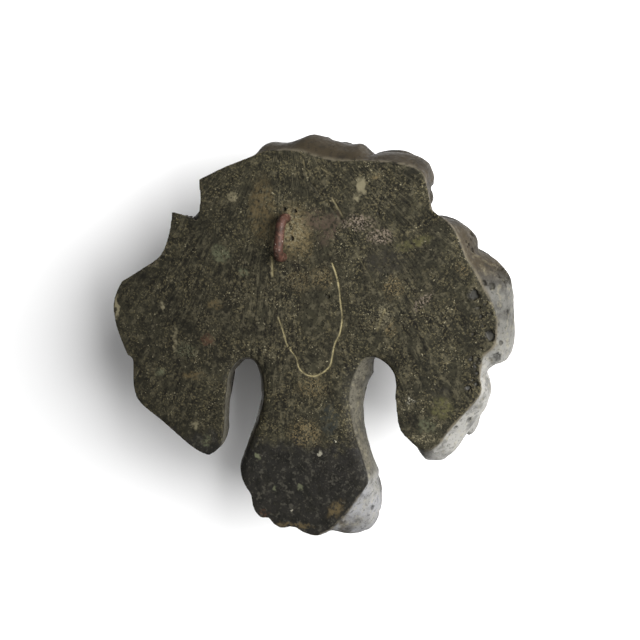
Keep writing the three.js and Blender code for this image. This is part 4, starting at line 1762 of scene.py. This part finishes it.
    def marked(self, mesh: Mesh) -> None:
        """Cuts the lines and pits, and notes where dust lies and how deep each place is in a furrow.

        Args:
            mesh: The casting, in millimetres.
        """
        places, normals = coordinates(mesh), coordinates(mesh, "normal")
        on_back = (places[:, 1] > -self.back_skin) * smoothstep(normals[:, 1], 0.3, 0.8)
        dust, hollow = np.zeros(len(places)), np.zeros(len(places))
        # Where the arches' painted shade goes, and where the edge's painted highlight is left out
        arch = self.arch_share(places, ARCHES + LOBE_INSIDES)
        # The back's edge, for its rubbed colour and painted highlight
        rim = (1 - smoothstep(normals[:, 1], 0.78, 0.97)) * smoothstep(places[:, 1], -2.8, -1.2)
        uneven = lumpiness(places, self.scratch_lumps, 0.75)
        ragged = lumpiness(places, self.pit_lumps)
        for groove in GROOVES:
            cut = bell(line_distance(places[:, ::2], groove.line), groove.half_width) * on_back
            places[:, 1] -= groove.depth * cut * uneven
            dust = np.maximum(dust, groove.dust * cut * uneven)
        for pit in PITS:
            away = np.linalg.norm(places - pit.at, axis=1) / pit.radius + ragged
            drop = pit.depth * smoothstep(1 - away, -0.05, 0.5) - pit.rim * bell(away - 1.15, 0.2)
            places -= normals * drop[:, None]
            # Where the pits' painted shade goes
            hollow = np.maximum(hollow, smoothstep(1.25 - away, 0, 0.35))
        places[:, 1] = np.minimum(places[:, 1], 0)
        place_vertices(mesh, places)
        normals = coordinates(mesh, "normal")
        around = neighbour_mean(mesh, places, self.furrow_rounds)
        furrow = np.sum((around - places) * normals, axis=1)
        noted = {"furrow": furrow, "dust": np.clip(dust, 0, 1), "hollow": hollow, "arch": arch, "rim": rim}
        for name, values in noted.items():
            attribute = mesh.attributes.new(name, "FLOAT", "POINT")
            attribute.data.foreach_set("value", values.astype(np.float32))

    def fitted(self, mesh: Mesh) -> None:
        """Draws the casting in a hair where it would reach past its solid.

        Args:
            mesh: The casting, in millimetres.
        """
        low, high = (np.array(corner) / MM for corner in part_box("lion_head"))
        places = coordinates(mesh)
        own_low, own_high = places.min(axis=0), places.max(axis=0)
        to_low, to_high = np.maximum(low, own_low), np.minimum(high, own_high)
        place_vertices(mesh, to_low + (places - own_low) * (to_high - to_low) / (own_high - own_low))

    def build(self, stone: bpy.types.Material) -> bpy.types.Object:
        """Makes the casting and dresses it.

        Args:
            stone: Its finish.

        Returns:
            The finished piece.
        """
        mesh = self.skin()
        self.weathered(mesh)
        share = self.triangles / (2 * len(mesh.polygons))
        mesh = self.refined(with_modifiers(mesh, ("DECIMATE", {"ratio": share})))
        self.marked(mesh)
        self.fitted(mesh)
        return finished(mesh, "lion_head_casting", stone)


# --- The loop ----------------------------------------------------------------------------------------


@dataclass
class HangingLoop:
    """The bent rod set into the back: out, over and in again, a little out of upright."""

    radius: float = 3.25
    x: float = 13
    top: float = 54.5
    bottom: float = 28.5
    stand_off: float = 10.5
    bend: float = 7
    sunk: float = 11
    tilt_x: float = 1.4
    segments: int = 40
    rings: int = 160
    samples: int = 400
    bend_steps: int = 24
    bluntness: float = 60
    hammered: float = 0.16
    rust_lumps: tuple[Triple, ...] = ((1, 4, 11), (0.6, 1.6, 12))

    def centre(self) -> np.ndarray:
        """The rod's middle line, from its lower leg over to its upper one.

        Returns:
            Its points.
        """
        corner = np.linspace(0, np.pi / 2, self.bend_steps)
        out = self.stand_off - self.bend * (1 - np.sin(corner))
        rise = self.bend * (1 - np.cos(corner))
        lower = np.column_stack([out, self.bottom + rise])
        upper = np.column_stack([out[::-1], self.top - rise[::-1]])
        path = np.vstack([(-self.sunk, self.bottom), lower, upper, (-self.sunk, self.top)])
        middle = (self.top + self.bottom) / 2
        lean = self.x - self.tilt_x * (path[:, 1] - middle) / (self.top - middle)
        return np.column_stack([lean, path])

    def build(self, iron: bpy.types.Material) -> bpy.types.Object:
        """Makes the rod: a sphere drawn out along the middle line, hammered and pitted by rust.

        Args:
            iron: Its finish.

        Returns:
            The finished piece.
        """
        mesh = mesh_of(sphere(self.segments, self.rings), "hanging_loop_rod")
        x, y, z = coordinates(mesh).T
        bends = self.centre()
        along = lengths_along(bends)
        t = np.arccos(np.clip(-z, -1, 1)) / np.pi
        steps = np.linspace(0, 1, self.samples)
        path = between(steps * along[-1], along, bends)
        middle = between(t, steps, path)
        tangent = unit(between(t, steps, np.gradient(path, axis=0)))
        side = unit(np.cross(tangent, np.array([1, 0, 0])))
        other = np.cross(tangent, side)
        angle = np.arctan2(y, x)
        blunt = np.minimum(1, np.minimum(t, 1 - t) * self.bluntness) ** 0.5
        radius = (self.radius * blunt)[:, None]
        places = middle + radius * (side * np.cos(angle)[:, None] + other * np.sin(angle)[:, None])
        worn = self.hammered * lumpiness(places, self.rust_lumps)
        places -= (places - middle) / self.radius * np.maximum(0, worn)[:, None]
        place_vertices(mesh, places)
        return finished(mesh, "hanging_loop_rod", iron)


# --- Studio ------------------------------------------------------------------------------------------


@dataclass(frozen=True)
class Softbox:
    """A square soft light: where it is, how wide, and its power in watts."""

    name: str
    at: Triple
    size: float
    power: float


@dataclass
class Studio:
    """Camera, lights and the pale paper before which the relief hangs, facing it.

    room_light is the room's strength near the paper's horizon and behind the camera, and room_fade is how
    far towards +Y the one ends and the other begins.
    """

    azimuth: float = 197
    elevation: float = 7
    distance: float = 0.76
    target: Triple = (-0.012, 0, -0.013)
    lens: float = 64.07
    sensor: float = 36
    room: str = "#ffffff"
    room_light: Pair = (0.08, 0.4)
    room_fade: Pair = (0.35, 0.85)
    paper_depth: float = 0.1
    paper_size: float = 6
    softboxes: tuple[Softbox, ...] = (
        Softbox("key_light", (-1.12, 0.84, 0.24), 1.3, 76),
        Softbox("front_light", (0.7, -1.5, 0.15), 1.0, 36),
    )

    def camera(self) -> None:
        """The camera at the photograph's angle."""
        a, e = math.radians(self.azimuth), math.radians(self.elevation)
        back = Vector((math.sin(a) * math.cos(e), -math.cos(a) * math.cos(e), math.sin(e)))
        data = bpy.data.cameras.new("camera")
        data.lens = self.lens
        data.sensor_width = self.sensor
        camera = shown(data, "camera")
        camera.location = Vector(self.target) + back * self.distance
        camera.rotation_euler = back.to_track_quat("Z", "Y").to_euler()
        bpy.context.scene.camera = camera

    def paper(self) -> None:
        """The pale paper, upright because the relief is modelled as it hangs."""
        bm = bmesh.new()
        bmesh.ops.create_grid(bm, x_segments=1, y_segments=1, size=self.paper_size / 2)
        bmesh.ops.rotate(bm, verts=bm.verts, matrix=Matrix.Rotation(-math.pi / 2, 3, "X"))
        bmesh.ops.translate(bm, verts=bm.verts, vec=(0, -self.paper_depth, 0))
        sheet = shown(mesh_of(bm, "background_paper"), "background_paper")
        sheet.data.materials.append(PaperFinish().make())
        sheet.visible_shadow = False

    def lights(self) -> None:
        """The room, palest behind the camera and darker towards the paper's horizon, and its softboxes."""
        world = bpy.data.worlds.new("pale_room")
        tree = empty_tree(world)
        towards = add_node(tree, "TexCoord", out="Generated")
        turned = add_node(tree, "SeparateXYZ", {"Vector": towards}, out="Y")
        (horizon, behind), (low, high) = self.room_light, self.room_fade
        strength = add_node(tree, "MapRange", {"Value": turned, "From Min": low, "From Max": high,
                                               "To Min": horizon, "To Max": behind})
        room = add_node(tree, "Background", {"Color": self.room, "Strength": strength})
        add_node(tree, "OutputWorld", {"Surface": room})
        bpy.context.scene.world = world
        for softbox in self.softboxes:
            data = bpy.data.lights.new(softbox.name, "AREA")
            data.size = softbox.size
            data.energy = softbox.power
            light = shown(data, softbox.name)
            light.location = softbox.at
            light.rotation_euler = Vector(softbox.at).to_track_quat("Z", "Y").to_euler()

    def build(self) -> None:
        """Sets the studio up."""
        self.camera()
        self.paper()
        self.lights()
        bpy.context.scene.view_settings.view_transform = "Standard"


def main() -> None:
    """Builds the relief and its studio in order."""
    logging.basicConfig(level=logging.INFO, format="%(name)s: %(message)s")
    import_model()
    stone = StoneFinish().make()
    head = LionHead().build(stone)
    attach(head, "root")
    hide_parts("lion_head")
    rod = HangingLoop().build(IronFinish().make())
    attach(rod, "root")
    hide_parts("hanging_loop")
    Studio().build()


if __name__ == "__main__":
    main()
